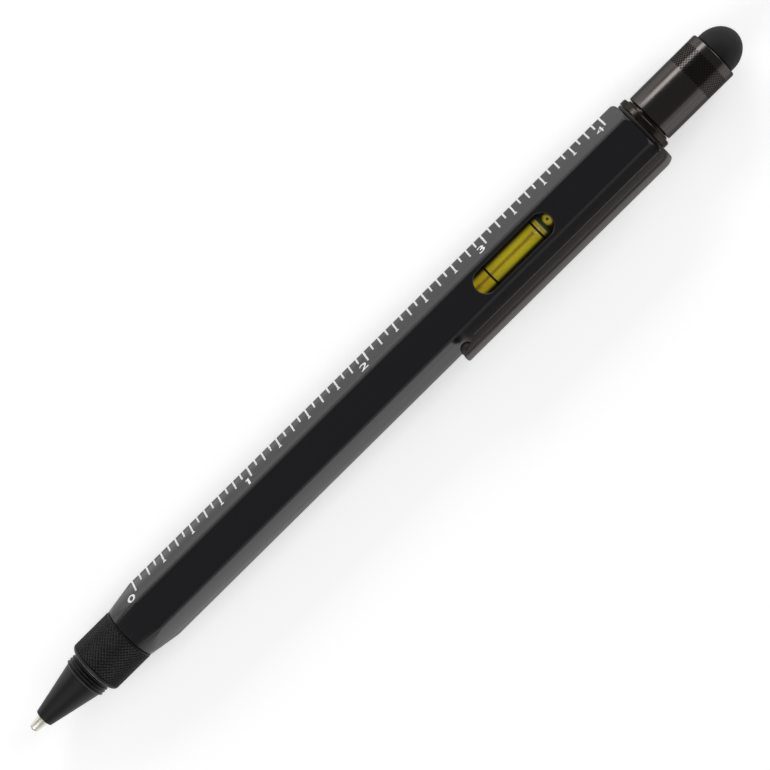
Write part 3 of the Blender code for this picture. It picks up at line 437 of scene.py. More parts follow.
@dataclass(frozen=True)
class Metal(Finish):
    """A machined metal: tool marks in one lay, brighter worn edges, and where a pattern is cut, painted shade in
    its pits and paler crests, partly wear and partly painted highlight.

    rim is its colour at a glancing angle, and the field after it the station before which it is darkened.
    """

    colour: Colour = (0.6, 0.6, 0.6, 1.0)
    worn: Colour = (0.8, 0.8, 0.8, 1.0)
    rim: Colour = grey(1.0)
    darken_before: float = -100.0
    roughness: float = 0.3
    lay: Lay = Lay.ROUND
    wear: float = 0.6
    marks: float = 0.003
    crest: float = 0.0
    root: float = 0.0

    def paint(self, graph: Graph) -> Material:
        """Paints the metal.

        Args:
            graph: an empty graph.

        Returns:
            The material.
        """
        lines = graph.noise(self.lay.value, 2.0)
        clouds = graph.noise((1.6, 1.6, 1.6), 4.0)
        edge = graph.edges(0.12) * (clouds.between(0.3, 0.6) * 0.6 + 0.4)
        base = graph.blend(lines * 0.6 + clouds * 0.4, darker(self.colour, 0.78), self.colour)
        # Painted shade darkens the pattern's pits; the paler crests are partly wear and partly painted highlight.
        if self.crest:
            rise = graph.radius().between(self.root, self.crest)
            base = graph.blend(rise, darker(self.colour, 0.55), base)
            edge = rise * rise * 0.45
        darkened = 1.0 - graph.past(self.darken_before).between(-0.08, 0.12)
        colour = graph.blend(edge * self.wear, base, self.worn)
        return graph.body(
            Base_Color=graph.blend(darkened * 0.85, colour, darker(self.colour, 0.1)),
            Roughness=lines * 0.1 + clouds * 0.1 + (self.roughness - 0.1),
            Metallic=1.0,
            Specular_Tint=self.rim,
            Normal=graph.relief(lines, self.marks),
        )


@dataclass(frozen=True)
class Moulded(Finish):
    """A moulded rubber or plastic: fine mould grain, dust in it and a little mottling."""

    colour: Colour = grey(0.02)
    dusty: Colour = grey(0.05)
    roughness: float = 0.7
    grain: float = 0.09
    depth: float = 0.006
    specular: float = 0.5

    def paint(self, graph: Graph) -> Material:
        """Paints the moulding.

        Args:
            graph: an empty graph.

        Returns:
            The material.
        """
        grain = graph.noise((self.grain, self.grain, self.grain), 3.0)
        clouds = graph.noise((1.3, 1.3, 1.3), 4.0)
        dust = (grain * clouds).between(0.2, 0.42)
        return graph.body(
            Base_Color=graph.blend(dust * 0.6, self.colour, self.dusty),
            Roughness=grain * 0.12 + clouds * 0.08 + (self.roughness - 0.1),
            Specular_IOR_Level=self.specular,
            Normal=graph.relief(grain, self.depth),
        )


@dataclass(frozen=True)
class Clear(Finish):
    """A clear moulding, seen through, with faint flow lines on its gloss."""

    tint: Colour = (0.1, 0.1, 0.06, 1.0)
    alpha: float = 0.07

    def paint(self, graph: Graph) -> Material:
        """Paints the clear plastic.

        Args:
            graph: an empty graph.

        Returns:
            The material.
        """
        flow = graph.noise((3.0, 0.4, 0.4), 2.0)
        return graph.body(
            Base_Color=graph.blend(flow * 0.2, self.tint, grey(0.6)),
            Roughness=flow * 0.06 + 0.05,
            Alpha=flow * 0.04 + (self.alpha - 0.02),
            Normal=graph.relief(flow, 0.004),
        )


@dataclass(frozen=True)
class Air(Finish):
    """The bubble, in painted light: it glows bright inside, and has a painted dark outline where it turns the
    light away.
    """

    inside: Colour = (0.95, 0.88, 0.4, 1.0)
    outline: Colour = (0.02, 0.017, 0.003, 1.0)
    station: float = 88.75
    reach: Pair = (0.9, 0.5)
    painted_glint: float = 0.7

    def paint(self, graph: Graph) -> Material:
        """Paints the bubble.

        Args:
            graph: an empty graph.

        Returns:
            The material.
        """
        swirl = graph.noise((0.5, 0.3, 0.3), 2.0)
        out = graph.span(graph.past(self.station) / self.reach[0], graph.aside() / self.reach[1])
        colour = graph.blend((out + swirl * 0.08).between(0.62, 0.86), self.inside, self.outline)
        # The bubble glows, though it is no lamp: painted light.
        return graph.body(
            Base_Color=colour,
            Roughness=swirl * 0.05 + 0.1,
            Emission_Color=colour,
            Emission_Strength=self.painted_glint,
        )


@dataclass(frozen=True)
class Glow(Finish):
    """Clear plastic in painted light: yellow lit near its nose and shaded elsewhere, glowing a little, with a
    brown sprue mark on top.
    """

    lit: Colour = (0.75, 0.6, 0.02, 1.0)
    shaded: Colour = (0.006, 0.006, 0.003, 1.0)
    sprue: Colour = (0.07, 0.03, 0.006, 1.0)
    nose: float = 91.05
    painted_glow: float = 0.3

    def paint(self, graph: Graph) -> Material:
        """Paints the plug.

        Args:
            graph: an empty graph.

        Returns:
            The material.
        """
        flow = graph.noise((0.8, 0.3, 0.3), 3.0)
        ahead, aside = graph.past(self.nose), graph.aside()
        reach = graph.maths("SQRT", ahead * ahead * 1.6 + aside * aside)
        # Painted light: a yellow pool of light near the nose, with painted shade around it.
        lit = (1.0 - (reach + flow * 0.4).between(0.7, 1.35)) * (flow * 0.5 + 0.6)
        mark = 1.0 - graph.span(ahead - 0.1, aside - 0.1).between(0.16, 0.34)
        colour = graph.blend(mark, graph.blend(lit, self.shaded, self.lit), self.sprue)
        # The plug glows a little, though it is no lamp: painted light.
        return graph.body(
            Base_Color=colour,
            Roughness=flow * 0.08 + 0.1,
            Alpha=lit * 0.5 + 0.45,
            Emission_Color=colour,
            Emission_Strength=self.painted_glow,
        )


@dataclass(frozen=True)
class Fluid(Finish):
    """The level's dyed fluid, in painted light: it glows a little, with bright bands, painted shade on its sides
    and a brown stripe that is a painted reflection.
    """

    bright: Colour = (0.7, 0.6, 0.014, 1.0)
    amber: Colour = (0.68, 0.42, 0.012, 1.0)
    side_shade: Colour = (0.012, 0.011, 0.003, 1.0)
    reflection_streak: Colour = (0.2, 0.12, 0.006, 1.0)
    pale: Colour = (0.52, 0.42, 0.1, 1.0)
    painted_glow: float = 0.3
    front_mark: float = 78.95
    rear_mark: float = 88.85

    def paint(self, graph: Graph) -> Material:
        """Paints the fluid.

        Args:
            graph: an empty graph.

        Returns:
            The material.
        """
        swirl = graph.noise((5.0, 0.35, 0.35), 3.0)
        spots = graph.noise((0.7, 0.35, 0.35), 3.0).between(0.45, 0.75)
        aside = graph.aside()
        core = 1.0 - (aside + (swirl - 0.5) * 0.3 - 0.1).size().between(0.05, 0.4)
        ahead = 1.0 - graph.past(self.front_mark).between(-1.2, 0.4)
        behind = graph.past(self.rear_mark).between(0.1, 0.5)
        colour = graph.blend(spots * 0.5 + ahead * 0.4, self.bright, self.amber)
        # Painted reflection: a brown stripe along the fluid's middle.
        colour = graph.blend(core * (swirl * 0.5 + 0.45) * (1.0 - behind), colour, self.reflection_streak)
        colour = graph.blend(behind * 0.8, colour, self.pale)
        # Painted shade on the fluid's sides.
        colour = graph.blend(aside.size().between(0.95, 1.6), colour, self.side_shade)
        # The fluid glows a little, though it is no lamp: painted light.
        return graph.body(
            Base_Color=colour,
            Roughness=swirl * 0.1 + 0.15,
            Alpha=1.0 - (1.0 - aside.size().between(0.4, 0.6)) * 0.45,
            Emission_Color=colour,
            Emission_Strength=self.painted_glow,
        )


class Palette:
    """The pen's finishes."""

    barrel = BarrelCoat(
        "barrel_black", "black_anodised", worn=(0.03, 0.03, 0.033, 1.0), wear=0.4, roughness=0.23, crest=5.5,
        root=5.43, matt=0.3,
    )
    # The ring's bare rim is partly wear and partly a painted highlight along its front edge.
    ring = Coating(
        "ring_black", "black_anodised", colour=(0.006, 0.006, 0.007, 1.0), roughness=0.46, specular=0.22,
        crest=4.75, root=4.6, rim=4.38,
    )
    cone = Coating(
        "cone_black", "black_anodised", colour=(0.0075, 0.0075, 0.0085, 1.0), worn=(0.05, 0.05, 0.052, 1.0),
        roughness=0.42, specular=0.3,
    )
    # The clip's worn colour also paints its highlights on the fold and the cut edges.
    clip = ClipCoat(
        "clip_dark", "clip_steel", colour=(0.0085, 0.0072, 0.0068, 1.0), worn=(0.2, 0.18, 0.17, 1.0),
        tint=(1.0, 0.93, 0.89, 1.0), roughness=0.3, wear=0.3, specular=0.6,
    )
    print = Moulded(
        "white_print", "white_plastic", colour=grey(0.93), dusty=grey(0.86), roughness=0.55, depth=0.002
    )
    gunmetal = Metal(
        "gunmetal", "gunmetal", colour=(0.046, 0.04, 0.034, 1.0), worn=(0.18, 0.165, 0.15, 1.0),
        rim=grey(0.48), roughness=0.24,
    )
    # The cap's knurl: painted shade in the pits, paler crests.
    knurl = Metal(
        "gunmetal_knurl", "gunmetal", colour=(0.038, 0.032, 0.03, 1.0), worn=(0.24, 0.225, 0.215, 1.0),
        rim=grey(0.4), roughness=0.2, crest=4.262, root=4.19,
    )
    steel = Metal("machined_steel", "steel", colour=(0.5, 0.5, 0.51, 1.0))
    carbide = Metal(
        "carbide", "steel", colour=(0.32, 0.31, 0.3, 1.0), roughness=0.16, lay=Lay.EVEN, marks=0.001
    )
    bit = Metal("bit_steel", "bit_steel", colour=(0.36, 0.35, 0.34, 1.0), roughness=0.34, lay=Lay.ALONG)
    magnet = Metal("magnet_plate", "steel", colour=(0.62, 0.62, 0.6, 1.0), roughness=0.2, lay=Lay.EVEN)
    nickel = Metal(
        "nickel_silver", "nickel", colour=(0.86, 0.83, 0.72, 1.0), worn=(0.95, 0.93, 0.85, 1.0), roughness=0.42
    )
    lip = Metal(
        "nickel_lip", "nickel", colour=(0.84, 0.81, 0.72, 1.0), worn=(0.9, 0.88, 0.8, 1.0), roughness=0.42,
        darken_before=-21.62,
    )
    brass = Metal("turned_brass", "brass", colour=(0.6, 0.42, 0.16, 1.0), worn=(0.85, 0.68, 0.34, 1.0))
    rubber = Moulded(
        "black_rubber", "black_rubber", colour=grey(0.006), dusty=grey(0.018), roughness=0.68, specular=0.3
    )
    mark = Moulded(
        "mark_black", "black_rubber", colour=grey(0.003), dusty=grey(0.006), roughness=0.5, specular=0.2
    )
    green = Moulded(
        "green_rubber", "green_rubber", colour=(0.012, 0.11, 0.035, 1.0), dusty=(0.04, 0.2, 0.08, 1.0),
        roughness=0.5,
    )
    plastic = Moulded(
        "white_plastic", "white_plastic", colour=grey(0.72), dusty=grey(0.6), roughness=0.45, depth=0.003
    )
    ink = Moulded("ink_black", "ink", colour=(0.004, 0.004, 0.009, 1.0), dusty=grey(0.01), roughness=0.25)
    clear = Clear("clear_acrylic", "clear_acrylic")
    glow = Glow("lit_acrylic", "clear_acrylic")
    fluid = Fluid("yellow_fluid", "yellow_fluid")
    air = Air("air", "air")


class Element(Enum):
    """A kind of mesh element, with the name of its selection mode."""

    POINT = "VERT"
    EDGE = "EDGE"
    FACE = "FACE"

    def facts(self, mesh: bmesh.types.BMesh) -> Iterable[tuple[object, tuple]]:
        """Lists a mesh's elements of this kind.

        Args:
            mesh: the mesh.

        Returns:
            Each element with the facts by which it is picked.
        """
        if self is Element.POINT:
            return [(point, (point.co,)) for point in mesh.verts]
        if self is Element.EDGE:
            return [(edge, tuple(end.co for end in edge.verts)) for edge in mesh.edges]
        return [(face, (face.calc_center_median(), len(face.verts))) for face in mesh.faces]


class Bench:
    """The modelling moves that the sub-assemblies share, each made with Blender's own operators."""

    @staticmethod
    def stop_editing() -> None:
        """Leaves edit mode."""
        if bpy.context.object and bpy.context.object.mode != "OBJECT":
            bpy.ops.object.mode_set(mode="OBJECT")

    @staticmethod
    def clear_bench() -> None:
        """Leaves edit mode and selects nothing."""
        Bench.stop_editing()
        bpy.ops.object.select_all(action="DESELECT")

    @staticmethod
    def take(piece: Piece, edit: bool = False) -> None:
        """Makes a piece the only selected one.

        Args:
            piece: the piece.
            edit: whether edit mode is entered, with nothing selected in it.
        """
        Bench.clear_bench()
        piece.select_set(True)
        bpy.context.view_layer.objects.active = piece
        if edit:
            bpy.ops.object.mode_set(mode="EDIT")
            bpy.ops.mesh.select_mode(type="VERT")
            bpy.ops.mesh.select_all(action="DESELECT")

    @staticmethod
    def keep(name: str) -> Piece:
        """Ends the work on the active piece.

        Args:
            name: its name.

        Returns:
            The piece, at the origin, unturned and unscaled.
        """
        Bench.stop_editing()
        bpy.ops.object.transform_apply(location=True, rotation=True, scale=True)
        piece = bpy.context.object
        piece.name = piece.data.name = name
        return piece

    @staticmethod
    def pick(piece: Piece, wanted: Callable[..., bool], kind: Element = Element.POINT) -> None:
        """Selects elements of a mesh in edit mode by their place.

        Args:
            piece: the piece in edit mode.
            wanted: says whether an element is selected, from the place of a point, the two ends of an edge,
                or the middle of a face and its number of corners.
            kind: the kind of element.
        """
        bpy.ops.mesh.select_mode(type=kind.value)
        mesh = bmesh.from_edit_mesh(piece.data)
        for element, facts in kind.facts(mesh):
            element.select = wanted(*facts)
        mesh.select_flush_mode()
        bmesh.update_edit_mesh(piece.data)

    @staticmethod
    def turned(name: str, outline: Outline, sides: int = SIDES, height: float = 0.0) -> Piece:
        """Draws a profile and spins it about the pen's axis.

        Args:
            name: the piece's name.
            outline: stations and radii in millimetres. It closes on itself unless it starts on the axis.
            sides: the steps of the spin.
            height: how far the turning axis lies above the pen's, in millimetres.

        Returns:
            The piece, smooth up to its sharp edges.
        """
        axis = AXIS + height * MM
        closed = outline[0][1] > 0
        route = outline + outline[:1] if closed else outline
        Bench.clear_bench()
        bpy.ops.mesh.primitive_plane_add(size=MM, enter_editmode=True, location=(0, 0, 0))
        bpy.ops.mesh.select_mode(type="VERT")
        bpy.ops.mesh.select_all(action="SELECT")
        bpy.ops.mesh.merge(type="CENTER")
        station, radius = route[0]
        bpy.ops.transform.translate(value=(along(station), 0, axis + radius * MM))
        for (near, low), (far, high) in zip(route, route[1:]):
            step = ((far - near) * MM, 0, (high - low) * MM)
            bpy.ops.mesh.extrude_vertices_move(TRANSFORM_OT_translate={"value": step})
        bpy.ops.mesh.select_all(action="SELECT")
        bpy.ops.mesh.remove_doubles(threshold=0.0002 * MM)
        bpy.ops.mesh.spin(steps=sides, angle=math.tau, center=(0, 0, axis), axis=(1, 0, 0))
        bpy.ops.mesh.select_all(action="SELECT")
        bpy.ops.mesh.remove_doubles(threshold=0.0002 * MM)
        bpy.ops.mesh.normals_make_consistent(inside=False)
        piece = Bench.keep(name)
        Bench.smooth(piece)
        return piece

    @staticmethod
    def softened(outline: Outline, reach: float, steps: int = 3, closed: bool = True) -> Outline:
        """Rounds the corners of an outline.

        Args:
            outline: the points.
            reach: how far from a corner its round starts.
            steps: the steps of each round.
            closed: whether the first and last points are corners too.

        Returns:
            The outline with its rounds.
        """
        soft: Outline = []
        last = len(outline) - 1
        for index, corner in enumerate(outline):
            here = Vector(corner)
            back = Vector(outline[index - 1]) - here
            ahead = Vector(outline[(index + 1) % len(outline)]) - here
            at_end = not closed and index in (0, last)
            if at_end or back.length < 1e-6 or ahead.length < 1e-6 or back.angle(ahead) > math.radians(155):
                soft.append(corner)
                continue
            near = here + back.normalized() * min(reach, back.length * 0.45)
            far = here + ahead.normalized() * min(reach, ahead.length * 0.45)
            for step in range(steps + 1):
                share = step / steps
                point = near * (1 - share) ** 2 + here * 2 * share * (1 - share) + far * share**2
                soft.append((point.x, point.y))
        return soft

    @staticmethod
    def arc(centre: Pair, radii: Pair, start: float, end: float, steps: int) -> Outline:
        """Draws part of an ellipse in equal steps, between two angles in degrees."""
        angles = [math.radians(start + (end - start) * step / steps) for step in range(steps + 1)]
        return [(centre[0] + radii[0] * math.cos(a), centre[1] + radii[1] * math.sin(a)) for a in angles]

    @staticmethod
    def half_round(station: float, radii: Pair, steps: int) -> Outline:
        """Draws half an ellipse on the turning axis, from its radii along the axis and away from it."""
        middle = Bench.arc((station, 0), radii, 180, 0, steps)[1:-1]
        return [(station - radii[0], 0), *middle, (station + radii[0], 0)]

    @staticmethod
    def plate(name: str, outline: Outline, thickness: float) -> Piece:
        """Makes a plate from a drawn outline.

        Args:
            name: its name.
            outline: its corners in millimetres, on the XY plane.
            thickness: its thickness in millimetres, half above and half below that plane.

        Returns:
            The plate, selected.
        """
        Bench.clear_bench()
        drawing = bpy.data.curves.new(name, "CURVE")
        drawing.dimensions = "2D"
        drawing.fill_mode = "BOTH"
        drawing.extrude = thickness * MM / 2
        line = drawing.splines.new("POLY")
        line.points.add(len(outline) - 1)
        for point, (x, y) in zip(line.points, outline):
            point.co = (x * MM, y * MM, 0, 1)
        line.use_cyclic_u = True
        piece = bpy.data.objects.new(name, drawing)
        bpy.context.scene.collection.objects.link(piece)
        Bench.take(piece)
        bpy.ops.object.convert(target="MESH")
        Bench.weld(bpy.context.object)
        return bpy.context.object

    @staticmethod
    def weld(piece: Piece, flat: float = 0.5) -> None:
        """Merges a piece's doubles, joins its flat faces and turns them outwards.

        Args:
            piece: the piece.
            flat: the angle in degrees under which faces count as one.
        """
        Bench.take(piece, edit=True)
        bpy.ops.mesh.select_all(action="SELECT")
        bpy.ops.mesh.remove_doubles(threshold=0.0005 * MM)
        bpy.ops.mesh.dissolve_limited(angle_limit=math.radians(flat))
        bpy.ops.mesh.normals_make_consistent(inside=False)
        Bench.stop_editing()

    @staticmethod
    def combine(piece: Piece, tool: Piece, operation: str = "DIFFERENCE") -> None:
        """Cuts a piece with a tool, or joins the two, and clears the tool away.

        Args:
            piece: the piece.
            tool: the other solid.
            operation: the Boolean modifier's operation.
        """
        Bench.take(piece)
        change = piece.modifiers.new("combine", "BOOLEAN")
        change.object, change.operation, change.solver = tool, operation, "EXACT"
        bpy.ops.object.modifier_apply(modifier=change.name)
        bpy.data.objects.remove(tool, do_unlink=True)

    @staticmethod
    def eased(piece: Piece, width: float, steps: int = 2, over: float = 32.0) -> None:
        """Breaks a piece's sharp edges.

        Args:
            piece: the piece.
            width: the width of the break, in millimetres.
            steps: its steps.
            over: the angle in degrees over which an edge is broken.
        """
        Bench.take(piece)
        change = piece.modifiers.new("ease", "BEVEL")
        change.width, change.segments = width * MM, steps
        change.limit_method, change.angle_limit = "ANGLE", math.radians(over)
        bpy.ops.object.modifier_apply(modifier=change.name)

    @staticmethod
    def smooth(piece: Piece, under: float = 32.0) -> None:
        """Shades a piece smooth over edges that turn by less than an angle in degrees."""
        Bench.take(piece)
        bpy.ops.object.shade_smooth_by_angle(angle=math.radians(under))

    @staticmethod
    def copied(piece: Piece, name: str, shift: Triple) -> Piece:
        """Copies a piece with its own mesh.

        Args:
            piece: the piece.
            name: the copy's name.
            shift: how far the copy is moved, in metres.

        Returns:
            The copy.
        """
        Bench.take(piece)
        bpy.ops.object.duplicate(linked=False)
        bpy.ops.transform.translate(value=shift)
        return Bench.keep(name)

    @staticmethod
    def joined(pieces: Iterable[Piece], name: str) -> Piece:
        """Joins loose pieces into one.

        Args:
            pieces: the pieces.
            name: the joined piece's name.

        Returns:
            The joined piece.
        """
        several = list(pieces)
        Bench.take(several[0])
        for piece in several[1:]:
            piece.select_set(True)
        bpy.ops.object.join()
        return Bench.keep(name)

    @staticmethod
    def refined(node: str, name: str, ease: float, steps: int = 2) -> Piece:
        """Makes a smooth copy of a hidden working part with its edges broken.

        Args:
            node: the part's node.
            name: the copy's name.
            ease: the width of the broken edges, in millimetres.
            steps: their steps.

        Returns:
            The copy.
        """
        Bench.take(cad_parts[node])
        bpy.ops.object.duplicate(linked=False)
        piece = bpy.context.object
        for key in [key for key in piece.keys() if key.startswith("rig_")]:
            del piece[key]
        piece.parent = None
        Bench.weld(piece, 1.0)
        Bench.eased(piece, ease, steps)
        piece = Bench.keep(name)
        Bench.smooth(piece)
        return piece

    @staticmethod
    def diamonds(piece: Piece, ends: Pair, rows: int, relief: float, sides: int) -> None:
        """Cuts a diamond pattern into a turned band whose outline has a point at each half row.

        Args:
            piece: the turned piece.
            ends: the band's first and last stations.
            rows: the half rows.
            relief: the share of the radius by which the diamonds rise to a point, or sink as pits if negative.
            sides: the steps of the piece's spin.
        """
        pitch = (ends[1] - ends[0]) * MM / rows
        outer = max(math.hypot(v.co.y, v.co.z - AXIS) for v in piece.data.vertices)

        def cell(place: Vector) -> tuple[int, int]:
            """Finds the cell of the pattern that a place lies in.

            Args:
                place: the place of a vertex.

            Returns:
                The row and the column, with a row out of range off the band's face.
            """
            row = (place.x - along(ends[0])) / pitch
            if abs(row - round(row)) > 0.02 or math.hypot(place.y, place.z - AXIS) < 0.93 * outer:
                return -1, 0
            turn = (math.atan2(place.z - AXIS, place.y) - math.pi / 2) / math.tau * sides
            return round(row), round(turn)

        Bench.take(piece, edit=True)
        Bench.pick(piece, lambda place: 0 <= cell(place)[0] <= rows and sum(cell(place)) % 2 == 0)
        bpy.ops.mesh.vert_connect()
        Bench.pick(piece, lambda place: 0 < cell(place)[0] < rows and sum(cell(place)) % 2 == 1)
        if relief > 0:
            bpy.ops.transform.resize(value=(1, 1 + relief, 1 + relief), center_override=(0, 0, AXIS))
        else:
            bpy.ops.mesh.dissolve_verts()
            Bench.pick(piece, lambda place, corners: corners == 4 and 0 < cell(place)[0] < rows, Element.FACE)
            bpy.ops.mesh.inset(thickness=0.17 * pitch, depth=0, use_individual=True)
            bpy.ops.mesh.inset(thickness=0.12 * pitch, depth=relief * outer, use_individual=True)
        Bench.stop_editing()
        Bench.smooth(piece, 12.0)


def fit_up(piece: Piece, finish: Finish, body: str, *nodes: str) -> Piece:
    """Dresses a finished piece and hangs it on its body.

    Args:
        piece: the piece, in place.
        finish: its finish.
        body: the body it rides on.
        nodes: the nodes it stands for.

    Returns:
        The piece.
    """
    finish.dress(piece)
    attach(piece, body)
    if nodes:
        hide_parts(*nodes)
    REPORT.info("%s: %d faces, on %s", piece.name, len(piece.data.polygons), body)
    return piece


@dataclass
class NoseSection:
    """The knurled ring that the fingers turn and the threaded cone that guides the tip."""

    ring_front: float = -8.2
    ring_rear: float = -0.15
    ring_radius: float = 4.75
    ring_round: float = 0.7
    ring_bore: float = 3.85
    web_front: float = -3.5
    web_bore: float = 3.2
    knurl: Pair = (-7.5, -0.32)
    knurl_rows: int = 22
    knurl_sides: int = 92
    cone_front: float = -19.4
    cone_rear: float = -10.45
    cone_radius: float = 1.6
    cone_bore: float = 1.325
    nose_round: float = 0.2
    guide_bore: float = 1.475
    funnel: float = 1.35
    shank_rear: float = -3.7
    shank_bore: float = 2.1
    band_radius: float = 3.75
    root_radius: float = 3.45
    ridges: int = 4

    def ring(self) -> Piece:
        """Turns the ring, rounds its front and cuts the diamonds.

        Returns:
            The ring.
        """
        land = self.ring_radius - 0.02
        base = self.ring_radius - 0.15
        front, rear = self.knurl
        pitch = (rear - front) / self.knurl_rows
        shoulder = (self.ring_front + self.ring_round, land - self.ring_round)
        outline = [
            (self.ring_front + 0.12, self.ring_bore), (self.ring_front, self.ring_bore + 0.12),
            *Bench.arc(shoulder, (self.ring_round, self.ring_round), 180, 90, 8),
            *((front + pitch * row, base) for row in range(self.knurl_rows + 1)),
            (rear + 0.03, land - 0.05), (self.ring_rear - 0.05, land - 0.05), (self.ring_rear, land - 0.1),
            (self.ring_rear, self.web_bore + 0.1), (self.ring_rear - 0.1, self.web_bore),
            (self.web_front, self.web_bore), (self.web_front, self.ring_bore),
        ]
        piece = Bench.turned("knurled_ring", outline, self.knurl_sides)
        Bench.diamonds(piece, self.knurl, self.knurl_rows, self.ring_radius / base - 1, self.knurl_sides)
        return piece

    def cone(self) -> Piece:
        """Turns the cone with its fine threads and the shank inside the ring.

        Returns:
            The cone.
        """
        pitch = (self.ring_front - self.cone_rear) / self.ridges
        land = self.band_radius - 0.02
        threads = [
            (self.cone_rear + (ridge + share) * pitch, radius)
            for ridge in range(self.ridges)
            for share, radius in (
                (0.06, self.root_radius), (0.42, land), (0.5, self.band_radius), (0.58, land),
                (0.94, self.root_radius),
            )
        ]
        nose = (self.cone_front + self.nose_round, self.cone_radius - self.nose_round)
        outline = [
            (self.cone_front + 0.05, self.cone_bore), (self.cone_front, self.cone_bore + 0.04),
            *Bench.arc(nose, (self.nose_round, self.nose_round), 180, 90, 6),
            (self.cone_rear - 0.12, self.root_radius - 0.02),
            *threads,
            (self.shank_rear, self.root_radius), (self.shank_rear, self.shank_bore),
            (self.cone_rear, self.shank_bore), (self.cone_rear - self.funnel, self.guide_bore),
            (self.cone_front + 0.7, self.guide_bore), (self.cone_front + 0.7, self.cone_bore),
        ]
        return Bench.turned("threaded_cone", outline, 128)

    def build(self) -> None:
        """Builds both pieces."""
        fit_up(self.ring(), Palette.ring, "nose_section", "twist_ring")
        fit_up(self.cone(), Palette.cone, "nose_section", "nose_cone")


